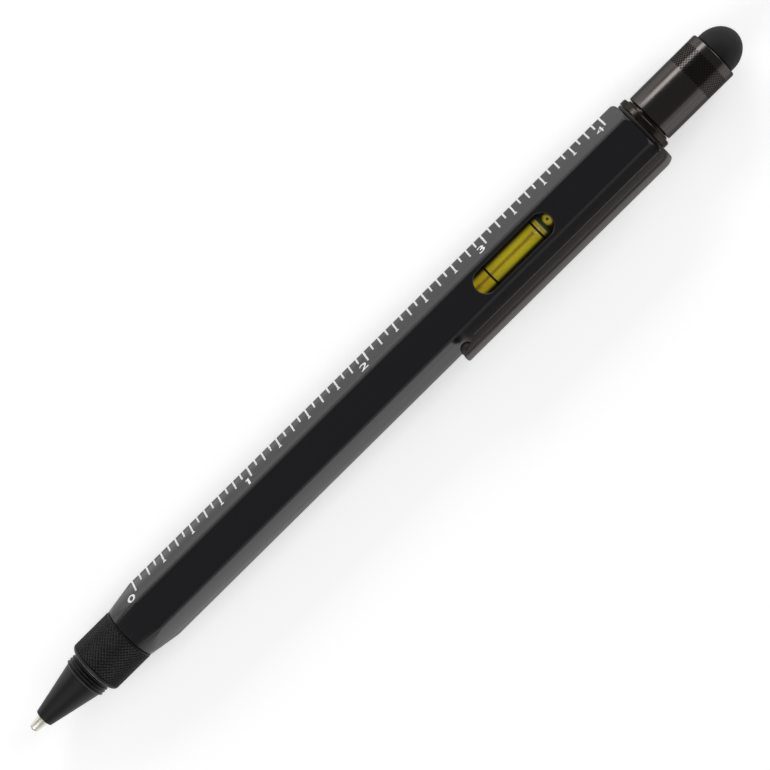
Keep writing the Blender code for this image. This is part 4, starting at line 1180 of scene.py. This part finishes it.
@dataclass
class Barrel:
    """The hexagonal bar with its window, and the inch scale printed on the flat beside it.

    The drills are pairs of a station, up to which each one cuts, and a radius. numbers holds how far each
    numeral lies ahead of its stroke and how far inward from the barrel's edge. bold is what their strokes
    gain on each side, and what the last one loses, so that the 4 stays open. flag is the flag of the 1.
    """

    length: float = 110.6
    corner: float = 0.6
    taper: float = 5.3
    mouth_radius: float = 4.75
    corner_reach: float = 5.5075
    end_round: float = 0.9
    front_drills: Pairs = ((22.45, 3.7), (51.6, 2.1))
    rear_drills: Pairs = ((98.6, 3.696), (70.8, 3.2))
    window_middle: float = 83.9
    window_length: float = 15.8
    window_width: float = 3.9
    window_break: float = 0.07
    scale_start: float = 5.8
    inch: float = 25.4
    divisions: int = 16
    inches: int = 4
    strokes: Pairs = ((3.15, 0.32), (2.8, 0.3), (2.62, 0.3), (1.88, 0.3))
    foot_height: float = 0.26
    foot_reach: float = 0.3
    print_lift: float = 0.015
    print_sheet: float = 0.045
    letter: float = 2.45
    letter_spread: float = 1.3
    numbers: Pairs = ((1.28, 4.75), (0.84, 4.55), (1.17, 4.35), (1.19, 4.15), (1.16, 3.95))
    bold: float = 0.03
    flag: Pairs = ((-0.05, 1.74), (-0.45, 1.56), (-0.52, 1.28), (-0.05, 1.42))
    flag_sheet: float = 0.04
    facet: float = math.radians(30)

    def bar(self) -> Piece:
        """Makes the bar, a hexagon with rounded corners, turned ends, drillings and the window.

        Returns:
            The bar.
        """
        Bench.clear_bench()
        bpy.ops.mesh.primitive_cylinder_add(
            vertices=6,
            radius=FLATS / 2 / math.cos(math.pi / 6) * MM,
            depth=(self.length + 2) * MM,
            location=(along(self.length / 2), 0, AXIS),
            rotation=(0, math.pi / 2, 0),
        )
        bar = Bench.keep("hex_barrel")
        Bench.take(bar, edit=True)
        Bench.pick(bar, lambda a, b: abs(a.x - b.x) > 0.05, Element.EDGE)
        bpy.ops.mesh.bevel(offset=self.corner * math.tan(math.pi / 6) * MM, segments=6, affect="EDGES")
        Bench.stop_editing()
        round_start = self.length - self.end_round
        wide = self.corner_reach + 0.8
        envelope = [
            (0, 0), (0, self.mouth_radius - 0.1), (0.1, self.mouth_radius), (self.taper, self.corner_reach),
            (self.taper, wide), (round_start, wide),
            *Bench.arc((round_start, self.corner_reach - self.end_round), (self.end_round,) * 2, 90, 0, 8),
            (self.length, 0),
        ]
        Bench.combine(bar, Bench.turned("envelope", envelope, 160), "INTERSECT")
        for name, start, drills in (
            ("front_drill", -1, self.front_drills), ("rear_drill", self.length + 1, self.rear_drills)
        ):
            outline = [(start, 0)]
            for end, radius in drills:
                outline += [(outline[-1][0], radius), (end, radius)]
            Bench.combine(bar, Bench.turned(name, [*outline, (outline[-1][0], 0)]))
        Bench.combine(bar, self.cutter(0.0, 8.0))
        Bench.combine(bar, self.bevel_cutter())
        Bench.smooth(bar, 24.0)
        return bar

    def cutter(self, lowest: float, highest: float) -> Piece:
        """Makes the window's round-ended cutter, which stands on the pen's axis.

        Args:
            lowest: its lower end above the axis.
            highest: its upper end above the axis.

        Returns:
            The cutter.
        """
        radius = self.window_width / 2
        reach = self.window_length / 2 - radius
        outline = Bench.arc((reach, 0), (radius, radius), -90, 90, 20)
        outline += Bench.arc((-reach, 0), (radius, radius), 90, 270, 20)
        cutter = Bench.plate("window_cutter", outline, highest - lowest)
        cutter.location = (along(self.window_middle), 0, AXIS + (highest + lowest) / 2 * MM)
        return Bench.keep("window_cutter")

    def bevel_cutter(self) -> Piece:
        """Makes the flared cutter that breaks the window's upper edge.

        Returns:
            The cutter.
        """
        flat, wide = FLATS / 2, self.window_break
        cutter = self.cutter(flat - wide, flat + wide)
        Bench.take(cutter, edit=True)
        Bench.pick(cutter, lambda place: place.z > AXIS + flat * MM)
        spread = tuple(1 + 4 * wide / size for size in (self.window_length, self.window_width))
        bpy.ops.transform.resize(value=(*spread, 1), center_override=(along(self.window_middle), 0, AXIS))
        return Bench.keep("bevel_cutter")

    def stroke(self, length: float, width: float) -> Piece:
        """Makes one printed stroke that starts at the barrel's edge and runs up the flat.

        Args:
            length: its length, measured over the edge.
            width: its width along the barrel.

        Returns:
            The stroke, at station 0.
        """
        centre = ((FLATS / 2 - self.corner) / math.cos(math.pi / 6), 0)
        over, under = self.corner + self.print_lift, self.corner - 0.03
        flat = length - self.corner * self.facet
        rise = (-math.sin(self.facet) * flat, math.cos(self.facet) * flat)
        turn = math.degrees(self.facet)
        outer = Bench.arc(centre, (over, over), -2, turn, 5)
        inner = Bench.arc(centre, (under, under), turn, -2, 5)
        top = [(x + rise[0], y + rise[1]) for x, y in (outer[-1], inner[0])]
        stroke = Bench.plate("stroke", outer + top + inner, width)
        stand = Matrix(((0, 0, 1, 0), (1, 0, 0, 0), (0, 1, 0, 0), (0, 0, 0, 1)))
        stroke.matrix_world = Matrix.Translation((along(0), 0, AXIS)) @ stand
        return Bench.keep("stroke")

    def foot(self) -> Piece:
        """Makes the small cross stroke at the inner end of a quarter-inch mark.

        Returns:
            The foot, at station 0.
        """
        half, low = self.foot_reach, -self.foot_height
        foot = Bench.plate("foot", [(-half, 0), (half, 0), (half, low), (-half, low)], self.print_sheet)
        foot.matrix_world = self.on_flat(0, self.strokes[1][0])
        return Bench.keep("foot")

    def on_flat(self, station: float, inward: float) -> Matrix:
        """Places a drawing on the printed flat.

        Args:
            station: the station of the drawing's origin.
            inward: how far its origin lies from the barrel's edge, measured over the edge.

        Returns:
            The matrix that takes its X along the barrel and its Y towards the edge.
        """
        normal = Vector((0, math.cos(self.facet), math.sin(self.facet)))
        outward = Vector((0, math.sin(self.facet), -math.cos(self.facet)))
        half = (FLATS / 2 - self.corner) * math.tan(math.pi / 6)
        reach = half + self.corner * self.facet - inward
        lift = FLATS / 2 + self.print_lift - self.print_sheet / 2
        place = Vector((along(station), 0, AXIS)) + normal * lift * MM + outward * reach * MM
        return Matrix.Translation(place) @ Matrix((Vector((1, 0, 0)), outward, normal)).transposed().to_4x4()

    def ticks(self) -> Piece:
        """Prints the scale's strokes, each kind made once and copied along the barrel.

        Returns:
            All the strokes as one piece.
        """
        inch, quarter, eighth, odd = [[self.stroke(length, width)] for length, width in self.strokes]
        quarter.append(self.foot())
        kinds = {self.divisions: inch, self.divisions // 4: quarter, self.divisions // 8: eighth, 1: odd}
        printed = []
        for mark in range(self.inches * self.divisions + 1):
            shift = ((self.scale_start + mark * self.inch / self.divisions) * MM, 0, 0)
            parts = next(parts for every, parts in kinds.items() if mark % every == 0)
            printed += [Bench.copied(part, f"mark_{mark}", shift) for part in parts]
        for part in (*inch, *quarter, *eighth, *odd):
            bpy.data.objects.remove(part, do_unlink=True)
        return Bench.joined(printed, "scale_marks")

    def numerals(self) -> Piece:
        """Prints the inch numbers beside their marks.

        Returns:
            The numbers as one piece.
        """
        printed = []
        for inch, (ahead, inward) in enumerate(self.numbers):
            Bench.clear_bench()
            bpy.ops.object.text_add(location=(0, 0, 0))
            text = bpy.context.object.data
            text.body, text.size, text.align_x = str(inch), self.letter * MM, "CENTER"
            text.offset = (-self.bold if inch == self.inches else self.bold) * MM
            text.extrude, text.resolution_u = self.print_sheet / 2 * MM, 4
            bpy.ops.object.convert(target="MESH")
            place = self.on_flat(self.scale_start + inch * self.inch - ahead, inward)
            bpy.context.object.matrix_world = place @ Matrix.Diagonal((self.letter_spread, 1.0, 1.0, 1.0))
            printed.append(Bench.keep(f"number_{inch}"))
            if inch == 1:
                flag = Bench.plate("flag", list(self.flag), self.flag_sheet)
                flag.matrix_world = place
                printed.append(Bench.keep("number_1_flag"))
        return Bench.joined(printed, "scale_numbers")

    def build(self) -> None:
        """Builds the bar and its print."""
        fit_up(self.bar(), Palette.barrel, "barrel_body", "barrel")
        fit_up(self.ticks(), Palette.print, "barrel_body")
        fit_up(self.numerals(), Palette.print, "barrel_body")


@dataclass
class SpiritLevel:
    """The vial behind the window: tube, fluid, two marks, bubble, seal and plug.

    The channel is the way that is left in the fluid for the bubble. seal and plug are their outlines.
    """

    front: float = 70.9
    rear: float = 96.9
    radius: float = 3.1
    bore: float = 1.95
    floor_round: float = 0.7
    fluid_front: float = 74.05
    fluid_rear: float = 89.75
    fluid_radius: float = 1.9
    marks: Pair = (78.95, 88.85)
    mark_inner: float = 1.65
    mark_width: float = 0.35
    channel_radius: float = 0.6
    channel_height: float = 0.85
    channel_front: float = 76.75
    channel_round: float = 0.5
    bubble: float = 88.75
    bubble_radii: Pair = (0.9, 0.5)
    seal: Pairs = ((89.9, 1.25), (89.9, 1.9), (90.35, 1.9), (90.35, 1.25))
    plug: Pairs = (
        (89.85, 0), (89.85, 1.2), (90.4, 1.2), (90.4, 1.9), (97.0, 1.9), (97.0, 3.1), (98.5, 3.1), (98.5, 0)
    )

    def tube(self) -> Piece:
        """Turns the clear tube.

        Returns:
            The tube.
        """
        floor = self.fluid_front - 0.1
        outline = [
            (self.front, 0), (self.front, self.radius), (self.rear, self.radius), (self.rear, self.bore),
            (floor + self.floor_round, self.bore), (floor, self.bore - self.floor_round), (floor, 0),
        ]
        return Bench.turned("level_tube", Bench.softened(outline, 0.25, 4, closed=False))

    def fluid(self) -> Piece:
        """Turns the fluid with its two grooves and opens the bubble's way.

        Returns:
            The fluid.
        """
        half, floor = self.mark_width / 2 + 0.05, self.mark_inner - 0.05
        front, radius = self.fluid_front + self.floor_round, self.fluid_radius
        outline: Outline = [(self.fluid_front, 0)]
        outline += Bench.arc((front, radius - self.floor_round), (self.floor_round,) * 2, 180, 90, 6)
        for mark in self.marks:
            outline += [(mark - half, radius), (mark - half, floor), (mark + half, floor), (mark + half, radius)]
        fluid = Bench.turned("level_fluid", [*outline, (self.fluid_rear, radius), (self.fluid_rear, 0)])
        corner = (self.channel_front + self.channel_round, self.channel_radius - self.channel_round)
        way = [
            (self.channel_front, 0),
            *Bench.arc(corner, (self.channel_round,) * 2, 180, 90, 5),
            (self.fluid_rear + 1, self.channel_radius), (self.fluid_rear + 1, 0),
        ]
        Bench.combine(fluid, Bench.turned("bubble_way", way, 32, self.channel_height))
        Bench.smooth(fluid)
        return fluid

    def build(self) -> None:
        """Builds the level."""
        fit_up(self.tube(), Palette.clear, "barrel_body", "vial_tube")
        fit_up(self.fluid(), Palette.fluid, "barrel_body", "vial_fluid")
        first, last = self.marks
        front, rear = first - self.mark_width / 2, first + self.mark_width / 2
        low, high = self.mark_inner, self.fluid_radius
        outline = Bench.softened([(front, low), (front, high), (rear, high), (rear, low)], 0.06, 2)
        mark = Bench.turned("level_mark_front", outline)
        other = Bench.copied(mark, "level_mark_rear", ((last - first) * MM, 0, 0))
        fit_up(mark, Palette.mark, "barrel_body", "vial_ring_front")
        fit_up(other, Palette.mark, "barrel_body", "vial_ring_rear")
        egg = Bench.half_round(self.bubble, self.bubble_radii, 16)
        fit_up(Bench.turned("level_bubble", egg, 32, self.channel_height), Palette.air, "bubble", "vial_bubble")
        seal = Bench.softened(list(self.seal), 0.1)
        fit_up(Bench.turned("level_seal", seal), Palette.green, "barrel_body", "vial_seal")
        plug = Bench.softened(list(self.plug), 0.12, closed=False)
        fit_up(Bench.turned("level_plug", plug), Palette.glow, "barrel_body", "vial_plug")


@dataclass
class WritingTip:
    """The bright end of the refill and the ball in it. outline holds distances from the tip's front and radii."""

    front: float = -21.75
    outline: Pairs = (
        (0, 0.463), (0, 0.623), (0.32, 0.763), (3.4, 1.175), (7.8, 1.175), (7.8, 0.9), (10.8, 0.9), (10.8, 0.2),
        (1.25, 0.2), (0.75, 0.265), (0.5, 0.53), (0.25, 0.53),
    )
    ball_station: float = -21.5
    ball_radius: float = 0.5

    def build(self) -> None:
        """Builds the tip and the ball."""
        outline = [(self.front + station, radius) for station, radius in self.outline]
        tip = Bench.turned("writing_tip", Bench.softened(outline, 0.08, 2))
        fit_up(tip, Palette.lip, "refill", "refill_tip")
        section = Bench.half_round(self.ball_station, (self.ball_radius, self.ball_radius), 24)
        fit_up(Bench.turned("carbide_ball", section, 48), Palette.carbide, "ball", "writing_ball")


@dataclass
class Clip:
    """The folded sprung arm with its ball, and the eyelet that holds it under the collar.

    The arm is drawn in the hinge's frame, with x along it and z square to the flat that carries it. Its walls
    grow to their full height over wall_slope, measured from the free end.
    """

    hinge: Triple = (55.625, -4.3734, 7.375)
    tip: float = -43.425
    end: float = 0.225
    half_width: float = 1.2
    sheet: float = 0.45
    wall_edge: float = 0.84
    top: float = 2.57
    heel: Pair = (1.6, 0.9)
    wall_slope: Pair = (0.9, 3.3)
    fold: float = 0.42
    nose: float = 0.9
    corner: float = 0.3
    ball_radius: float = 1.15
    ball_height: float = 1.25
    eyelet: Pair = (110.7, 111.15)
    eyelet_radii: Pair = (3.696, 4.646)
    stub_reach: float = 4.95
    stub_width: float = 2.2

    def set_in_place(self, piece: Piece, name: str) -> Piece:
        """Moves a piece from the hinge's frame onto the pen.

        Args:
            piece: the piece.
            name: its name.

        Returns:
            The piece.
        """
        Bench.take(piece)
        piece.location = Vector(self.hinge) * MM
        piece.rotation_euler = (CLIP_TURN, 0, 0)
        return Bench.keep(name)

    def sideways(self, name: str, outline: Outline, width: float) -> Piece:
        """Makes a plate that is drawn in the side view, with x along the arm and z outwards.

        Args:
            name: its name.
            outline: its corners.
            width: its width across the arm.

        Returns:
            The plate.
        """
        plate = Bench.plate(name, outline, width)
        plate.rotation_euler = (math.pi / 2, 0, 0)
        return Bench.keep(name)

    def arm(self) -> Piece:
        """Folds the arm: the side view gives the body, its bends are rounded and the channel is cut.

        Returns:
            The arm with its ball.
        """
        tip, end, top, sheet, half = self.tip, self.end, self.top, self.sheet, self.half_width
        (length, drop), (slope, full) = self.heel, self.wall_slope
        outline = [
            (tip - 0.5, top),
            *Bench.arc((end - length, top - drop), self.heel, 90, 0, 14),
            (end, 0), (end - sheet, 0), (end - sheet, self.wall_edge), (tip + full, self.wall_edge),
            (tip + slope, top - sheet), (tip - 0.5, top - sheet),
        ]
        arm = self.sideways("sprung_clip", outline, 2 * half)

        def is_fold(a: Vector, b: Vector) -> bool:
            """Finds the edges along the outer face's sides.

            Args:
                a: the place of the edge's one end.
                b: the place of its other end.

            Returns:
                Whether the edge is one.
            """
            if min(abs(a.y), abs(b.y)) < half * MM * 0.99 or a.y * b.y < 0:
                return False
            over_heel = min(a.x, b.x) > (end - length - 0.1) * MM and min(a.z, b.z) > (top - drop - 0.05) * MM
            return min(a.z, b.z) > (top - sheet * 0.5) * MM or over_heel

        Bench.take(arm, edit=True)
        Bench.pick(arm, is_fold, Element.EDGE)
        bpy.ops.mesh.bevel(offset=self.fold * MM, segments=6, affect="EDGES")
        Bench.stop_editing()
        inner = top - sheet
        hollow = [
            (tip - 2, -1.0), (end - sheet, -1.0), (end - sheet, inner - drop),
            *Bench.arc((end - length, inner - drop), (length - sheet, drop), 12, 90, 8),
            (tip - 2, inner),
        ]
        Bench.combine(arm, self.sideways("channel", hollow, 2 * (half - sheet)))
        nose, corner = self.nose, self.corner
        plan = [
            *Bench.arc((tip + nose, half - nose), (nose, nose), 90, 180, 8),
            *Bench.arc((tip + nose, nose - half), (nose, nose), 180, 270, 8),
            *Bench.arc((end - corner, corner - half), (corner, corner), 270, 360, 5),
            *Bench.arc((end - corner, half - corner), (corner, corner), 0, 90, 5),
        ]
        Bench.combine(arm, Bench.plate("plan", plan, 8.0), "INTERSECT")
        Bench.weld(arm)
        Bench.eased(arm, 0.07, 2, 40.0)
        Bench.combine(arm, self.ball(), "UNION")
        self.set_in_place(arm, "sprung_clip")
        Bench.smooth(arm)
        return arm

    def ball(self) -> Piece:
        """Makes the ball under the arm's free end.

        Returns:
            The ball, in the hinge's frame.
        """
        Bench.clear_bench()
        place = Vector((self.tip + self.ball_radius, 0, self.ball_height)) * MM
        radius = self.ball_radius * MM
        bpy.ops.mesh.primitive_uv_sphere_add(segments=48, ring_count=24, radius=radius, location=place)
        return Bench.keep("ball")

    def loop(self) -> Piece:
        """Makes the eyelet with the stub of its arm.

        Returns:
            The eyelet.
        """
        front, rear = self.eyelet
        inner, outer = self.eyelet_radii
        outline = [(front, inner), (front, outer), (rear, outer), (rear, inner)]
        eyelet = Bench.turned("clip_eyelet", Bench.softened(outline, 0.08, 2), 128)
        low, high, front, rear = (inner + outer) / 2, self.stub_reach, front + 0.05, rear - 0.05
        stub = Bench.plate("stub", [(front, low), (rear, low), (rear, high), (front, high)], self.stub_width)
        turn = Matrix.Rotation(CLIP_TURN, 4, "X")
        stand = Matrix(((1, 0, 0, 0), (0, 0, -1, 0), (0, 1, 0, 0), (0, 0, 0, 1)))
        stub.matrix_world = Matrix.Translation((along(0), 0, AXIS)) @ turn @ stand
        Bench.combine(eyelet, Bench.keep("stub"), "UNION")
        Bench.smooth(eyelet)
        return eyelet

    def build(self) -> None:
        """Builds the clip."""
        fit_up(self.arm(), Palette.clip, "clip", "clip_arm")
        fit_up(self.loop(), Palette.clip, "barrel_body", "clip_ring")


@dataclass
class StylusEnd:
    """The collar in the barrel's rear, the knurled cap that screws on it and the rubber dome."""

    collar_front: float = 98.7
    flange: Pair = (111.25, 112.35)
    flange_radius: float = 4.796
    flange_round: float = 0.3
    neck: float = 4.046
    neck_rear: float = 112.65
    nipple: float = 3.496
    nipple_rear: float = 115.4
    thread_pitch: float = 0.4
    thread_depth: float = 0.14
    bore: float = 3.096
    shank: float = 3.596
    cap_front: float = 112.8
    cap_rear: float = 126.6
    cap_radius: float = 4.286
    cap_round: float = 0.25
    cap_mouth: float = 3.596
    cap_bore: float = 2.996
    cap_floor: float = 124.8
    stem_hole: float = 1.5
    knurl: Pair = (121.1, 125.2)
    knurl_rows: int = 14
    knurl_sides: int = 96
    knurl_relief: float = -0.024
    dome_front: float = 126.65
    dome_radius: float = 3.651
    dome_length: float = 4.7
    dome_inner: float = 2.651

    def collar(self) -> Piece:
        """Turns the collar, with fine threads on the part that the cap screws on.

        Returns:
            The collar.
        """
        (front, rear), end, pitch = self.flange, self.neck_rear, self.thread_pitch
        root = self.nipple - self.thread_depth
        threads = []
        for turn in range(int((self.nipple_rear - end - 0.5) / pitch)):
            start = end + 0.25 + turn * pitch
            threads += [(start, root), (start + pitch / 2, self.nipple)]
        edge = (rear - self.flange_round, self.flange_radius - self.flange_round)
        outline = [
            (self.collar_front, self.bore), (self.collar_front, self.shank - 0.1),
            (self.collar_front + 0.1, self.shank), (front, self.shank),
            (front, self.flange_radius - 0.1), (front + 0.1, self.flange_radius),
            *Bench.arc(edge, (self.flange_round,) * 2, 90, 0, 6),
            (rear, self.neck + 0.04), (rear + 0.04, self.neck), (end - 0.04, self.neck), (end, self.neck - 0.04),
            (end, root),
            *threads,
            (self.nipple_rear - 0.15, root), (self.nipple_rear, root - 0.08), (self.nipple_rear, self.bore),
        ]
        return Bench.turned("turned_collar", outline, 128)

    def cap(self) -> Piece:
        """Turns the cap and presses the diamond net into its band.

        Returns:
            The cap.
        """
        radius, edge = self.cap_radius, self.cap_round
        front, rear = self.knurl
        pitch = (rear - front) / self.knurl_rows
        mouth = self.nipple_rear + 0.65
        outline = [
            (self.cap_front, self.cap_mouth + 0.1), (self.cap_front, radius - edge),
            *Bench.arc((self.cap_front + edge, radius - edge), (edge, edge), 180, 90, 4)[1:],
            (front - 0.1, radius),
            *((front + pitch * row, radius - 0.012) for row in range(self.knurl_rows + 1)),
            (rear + 0.1, radius),
            *Bench.arc((self.cap_rear - edge, radius - edge), (edge, edge), 90, 0, 4),
            (self.cap_rear, self.stem_hole), (self.cap_floor, self.stem_hole), (self.cap_floor, self.cap_bore),
            (mouth, self.cap_bore), (mouth, self.cap_mouth), (self.cap_front + 0.1, self.cap_mouth),
        ]
        piece = Bench.turned("knurled_cap", outline, self.knurl_sides)
        Bench.diamonds(piece, self.knurl, self.knurl_rows, self.knurl_relief, self.knurl_sides)
        return piece

    def dome(self) -> Piece:
        """Turns the hollow rubber dome.

        Returns:
            The dome.
        """
        front, radius, inner, length = self.dome_front, self.dome_radius, self.dome_inner, self.dome_length
        outer = Bench.arc((front + 0.5, 0), (length - 0.5, radius), 0, 90, 28)
        hollow = Bench.arc((front + 1.3, 0), (length - 2.3, inner), 90, 0, 14)
        outline = [
            (front + length, 0),
            *outer[1:],
            (front + 0.1, radius), (front, radius - 0.1), (front, self.stem_hole),
            (front + 0.8, self.stem_hole), (front + 0.8, inner),
            *hollow[:-1],
            (front + length - 1.0, 0),
        ]
        return Bench.turned("stylus_tip", outline)

    def build(self) -> None:
        """Builds the three pieces."""
        fit_up(self.collar(), Palette.gunmetal, "barrel_body", "top_collar")
        fit_up(self.cap(), Palette.knurl, "cap_shell", "stylus_cap")
        fit_up(self.dome(), Palette.rubber, "cap_core", "stylus_dome")


@dataclass
class InnerWorks:
    """The parts that work inside the pen, with smooth turned faces and broken edges.

    parts holds each part's node, its piece's name, its finish and its body.
    """

    ease: float = 0.05
    parts: tuple[tuple[str, str, Finish, str], ...] = (
        ("front_bushing", "mouth_bushing", Palette.brass, "barrel_body"),
        ("guide_tube", "slotted_guide", Palette.brass, "barrel_body"),
        ("cam_sleeve", "helix_sleeve", Palette.brass, "nose_section"),
        ("twist_o_ring", "friction_ring", Palette.rubber, "nose_section"),
        ("refill_carrier", "refill_holder", Palette.plastic, "refill"),
        ("follower_pin", "cam_pin", Palette.steel, "refill"),
        ("refill_tube", "refill_body", Palette.nickel, "refill"),
        ("ink_column", "ink_fill", Palette.ink, "refill"),
        ("bit_socket", "hex_socket", Palette.steel, "barrel_body"),
        ("bit_magnet", "disc_magnet", Palette.magnet, "barrel_body"),
        ("driver_bit", "hex_bit", Palette.bit, "driver"),
        ("dome_core", "dome_anchor", Palette.steel, "cap_core"),
    )

    def build(self) -> None:
        """Builds every part."""
        for node, name, finish, body in self.parts:
            fit_up(Bench.refined(node, name, self.ease), finish, body, node)


@dataclass
class Studio:
    """The pale floor, the soft lamps, the sky and the camera.

    right and up are the camera's level and rising directions, and roll the small turn between them. Each lamp
    has its place and the two sides of its face in metres, the first side level, the radiance of the face,
    where 1 is white, and the X of the point on the pen's line that it faces.
    """

    lens: float = 135.61
    camera: Triple = (40.02, 1.45, 450.07)
    right: Triple = (0.7059, -0.7058, -0.0601)
    up: Triple = (0.7027, 0.7084, -0.0660)
    roll: float = 0.0028
    floor_size: float = 6.0
    floor_glow: float = 0.46
    sky_rise: Pair = (0.05, 0.36)
    horizon: float = 1.0
    zenith: float = 0.2
    lamps: tuple[tuple[str, Triple, Pair, float, float], ...] = (
        ("strip_left", (0.28, 0.6, 0.3), (0.62, 0.2), 4.8, 0.28),
        ("fill_left", (-0.3, 0.7, 0.12), (0.6, 0.2), 1.2, -0.3),
        ("strip_right", (0.0, -0.66, 0.26), (0.9, 0.36), 0.6, 0.0),
        ("strip_front", (-0.8, 0.0, 0.45), (0.6, 0.4), 4.4, 0.0),
        ("strip_rear", (0.85, 0.0, 0.45), (0.6, 0.4), 4.4, 0.0),
    )

    def floor(self) -> None:
        """Lays a pale floor whose lit part is white, and which keeps the pen's shadow."""
        Bench.clear_bench()
        bpy.ops.mesh.primitive_grid_add(x_subdivisions=8, y_subdivisions=8, size=self.floor_size)
        floor = Bench.keep("floor")
        graph = Graph("pale_floor")
        tone = graph.blend(graph.noise((40.0, 40.0, 40.0), 2.0), grey(0.84), grey(0.86))
        paper = graph.node("ShaderNodeBsdfDiffuse", inputs={"Color": tone})
        path = graph.node("ShaderNodeLightPath")
        seen = [Value(graph, path.outputs[f"Is {kind} Ray"]) for kind in ("Camera", "Glossy", "Transmission")]
        strength = (seen[0] + seen[1] + seen[2]) * self.floor_glow
        glow = graph.node("ShaderNodeEmission", inputs={"Strength": strength})
        both = graph.node("ShaderNodeAddShader", inputs={0: paper.outputs[0], 1: glow.outputs[0]})
        floor.data.materials.append(graph.close(both.outputs[0]))

    def sky(self) -> None:
        """Makes the sky: white at the horizon and darker overhead."""
        world = bpy.data.worlds.new("studio_sky")
        world.use_nodes = True
        bpy.context.scene.world = world
        nodes = Nodes(world.node_tree)
        place = nodes.node("ShaderNodeTexCoord").outputs["Generated"]
        height = nodes.node("ShaderNodeSeparateXYZ", inputs={0: place}).outputs["Z"]
        low, high = self.sky_rise
        steps = {"Value": height, "From Min": low, "From Max": high, "To Min": self.horizon, "To Max": self.zenith}
        light = nodes.node("ShaderNodeMapRange", inputs=steps).outputs[0]
        back = nodes.node("ShaderNodeBackground", inputs={"Strength": light}).outputs[0]
        nodes.node("ShaderNodeOutputWorld", inputs={"Surface": back})

    def hang_lamps(self) -> None:
        """Hangs the rectangular lamps, which face the pen."""
        for name, place, size, glow, aim in self.lamps:
            data = bpy.data.lights.new(name, "AREA")
            data.shape, data.size, data.size_y = "RECTANGLE", size[0], size[1]
            data.energy = glow * math.pi * size[0] * size[1]
            lamp = bpy.data.objects.new(name, data)
            lamp.location = place
            lamp.rotation_euler = (Vector((aim, 0, 0)) - Vector(place)).to_track_quat("-Z", "Y").to_euler()
            bpy.context.scene.collection.objects.link(lamp)

    def aim_camera(self) -> None:
        """Sets up the camera above the pen."""
        data = bpy.data.cameras.new("camera")
        data.lens, data.sensor_width, data.clip_start = self.lens, 36.0, 0.01
        camera = bpy.data.objects.new("camera", data)
        level, rise = Vector(self.right), Vector(self.up)
        right = (level + rise * self.roll).normalized()
        up = rise - level * self.roll
        up = (up - right * up.dot(right)).normalized()
        turn = Matrix((right, up, right.cross(up))).transposed().to_4x4()
        camera.matrix_world = Matrix.Translation(Vector(self.camera) * MM) @ turn
        bpy.context.scene.collection.objects.link(camera)
        bpy.context.scene.camera = camera

    def build(self) -> None:
        """Sets the stage, the lamps, the camera and the view."""
        self.floor()
        self.sky()
        self.hang_lamps()
        self.aim_camera()
        bpy.context.scene.view_settings.view_transform = "Standard"


def main() -> None:
    """Builds the pen in order, then the studio."""
    logging.basicConfig(level=logging.INFO, format="%(name)s %(message)s", stream=sys.stdout)
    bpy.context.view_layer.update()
    for section in (NoseSection(), Barrel(), SpiritLevel(), WritingTip(), Clip(), StylusEnd(), InnerWorks()):
        section.build()
        REPORT.info("%s done", type(section).__name__)
    Studio().build()
    Bench.clear_bench()


if __name__ == "__main__":
    main()
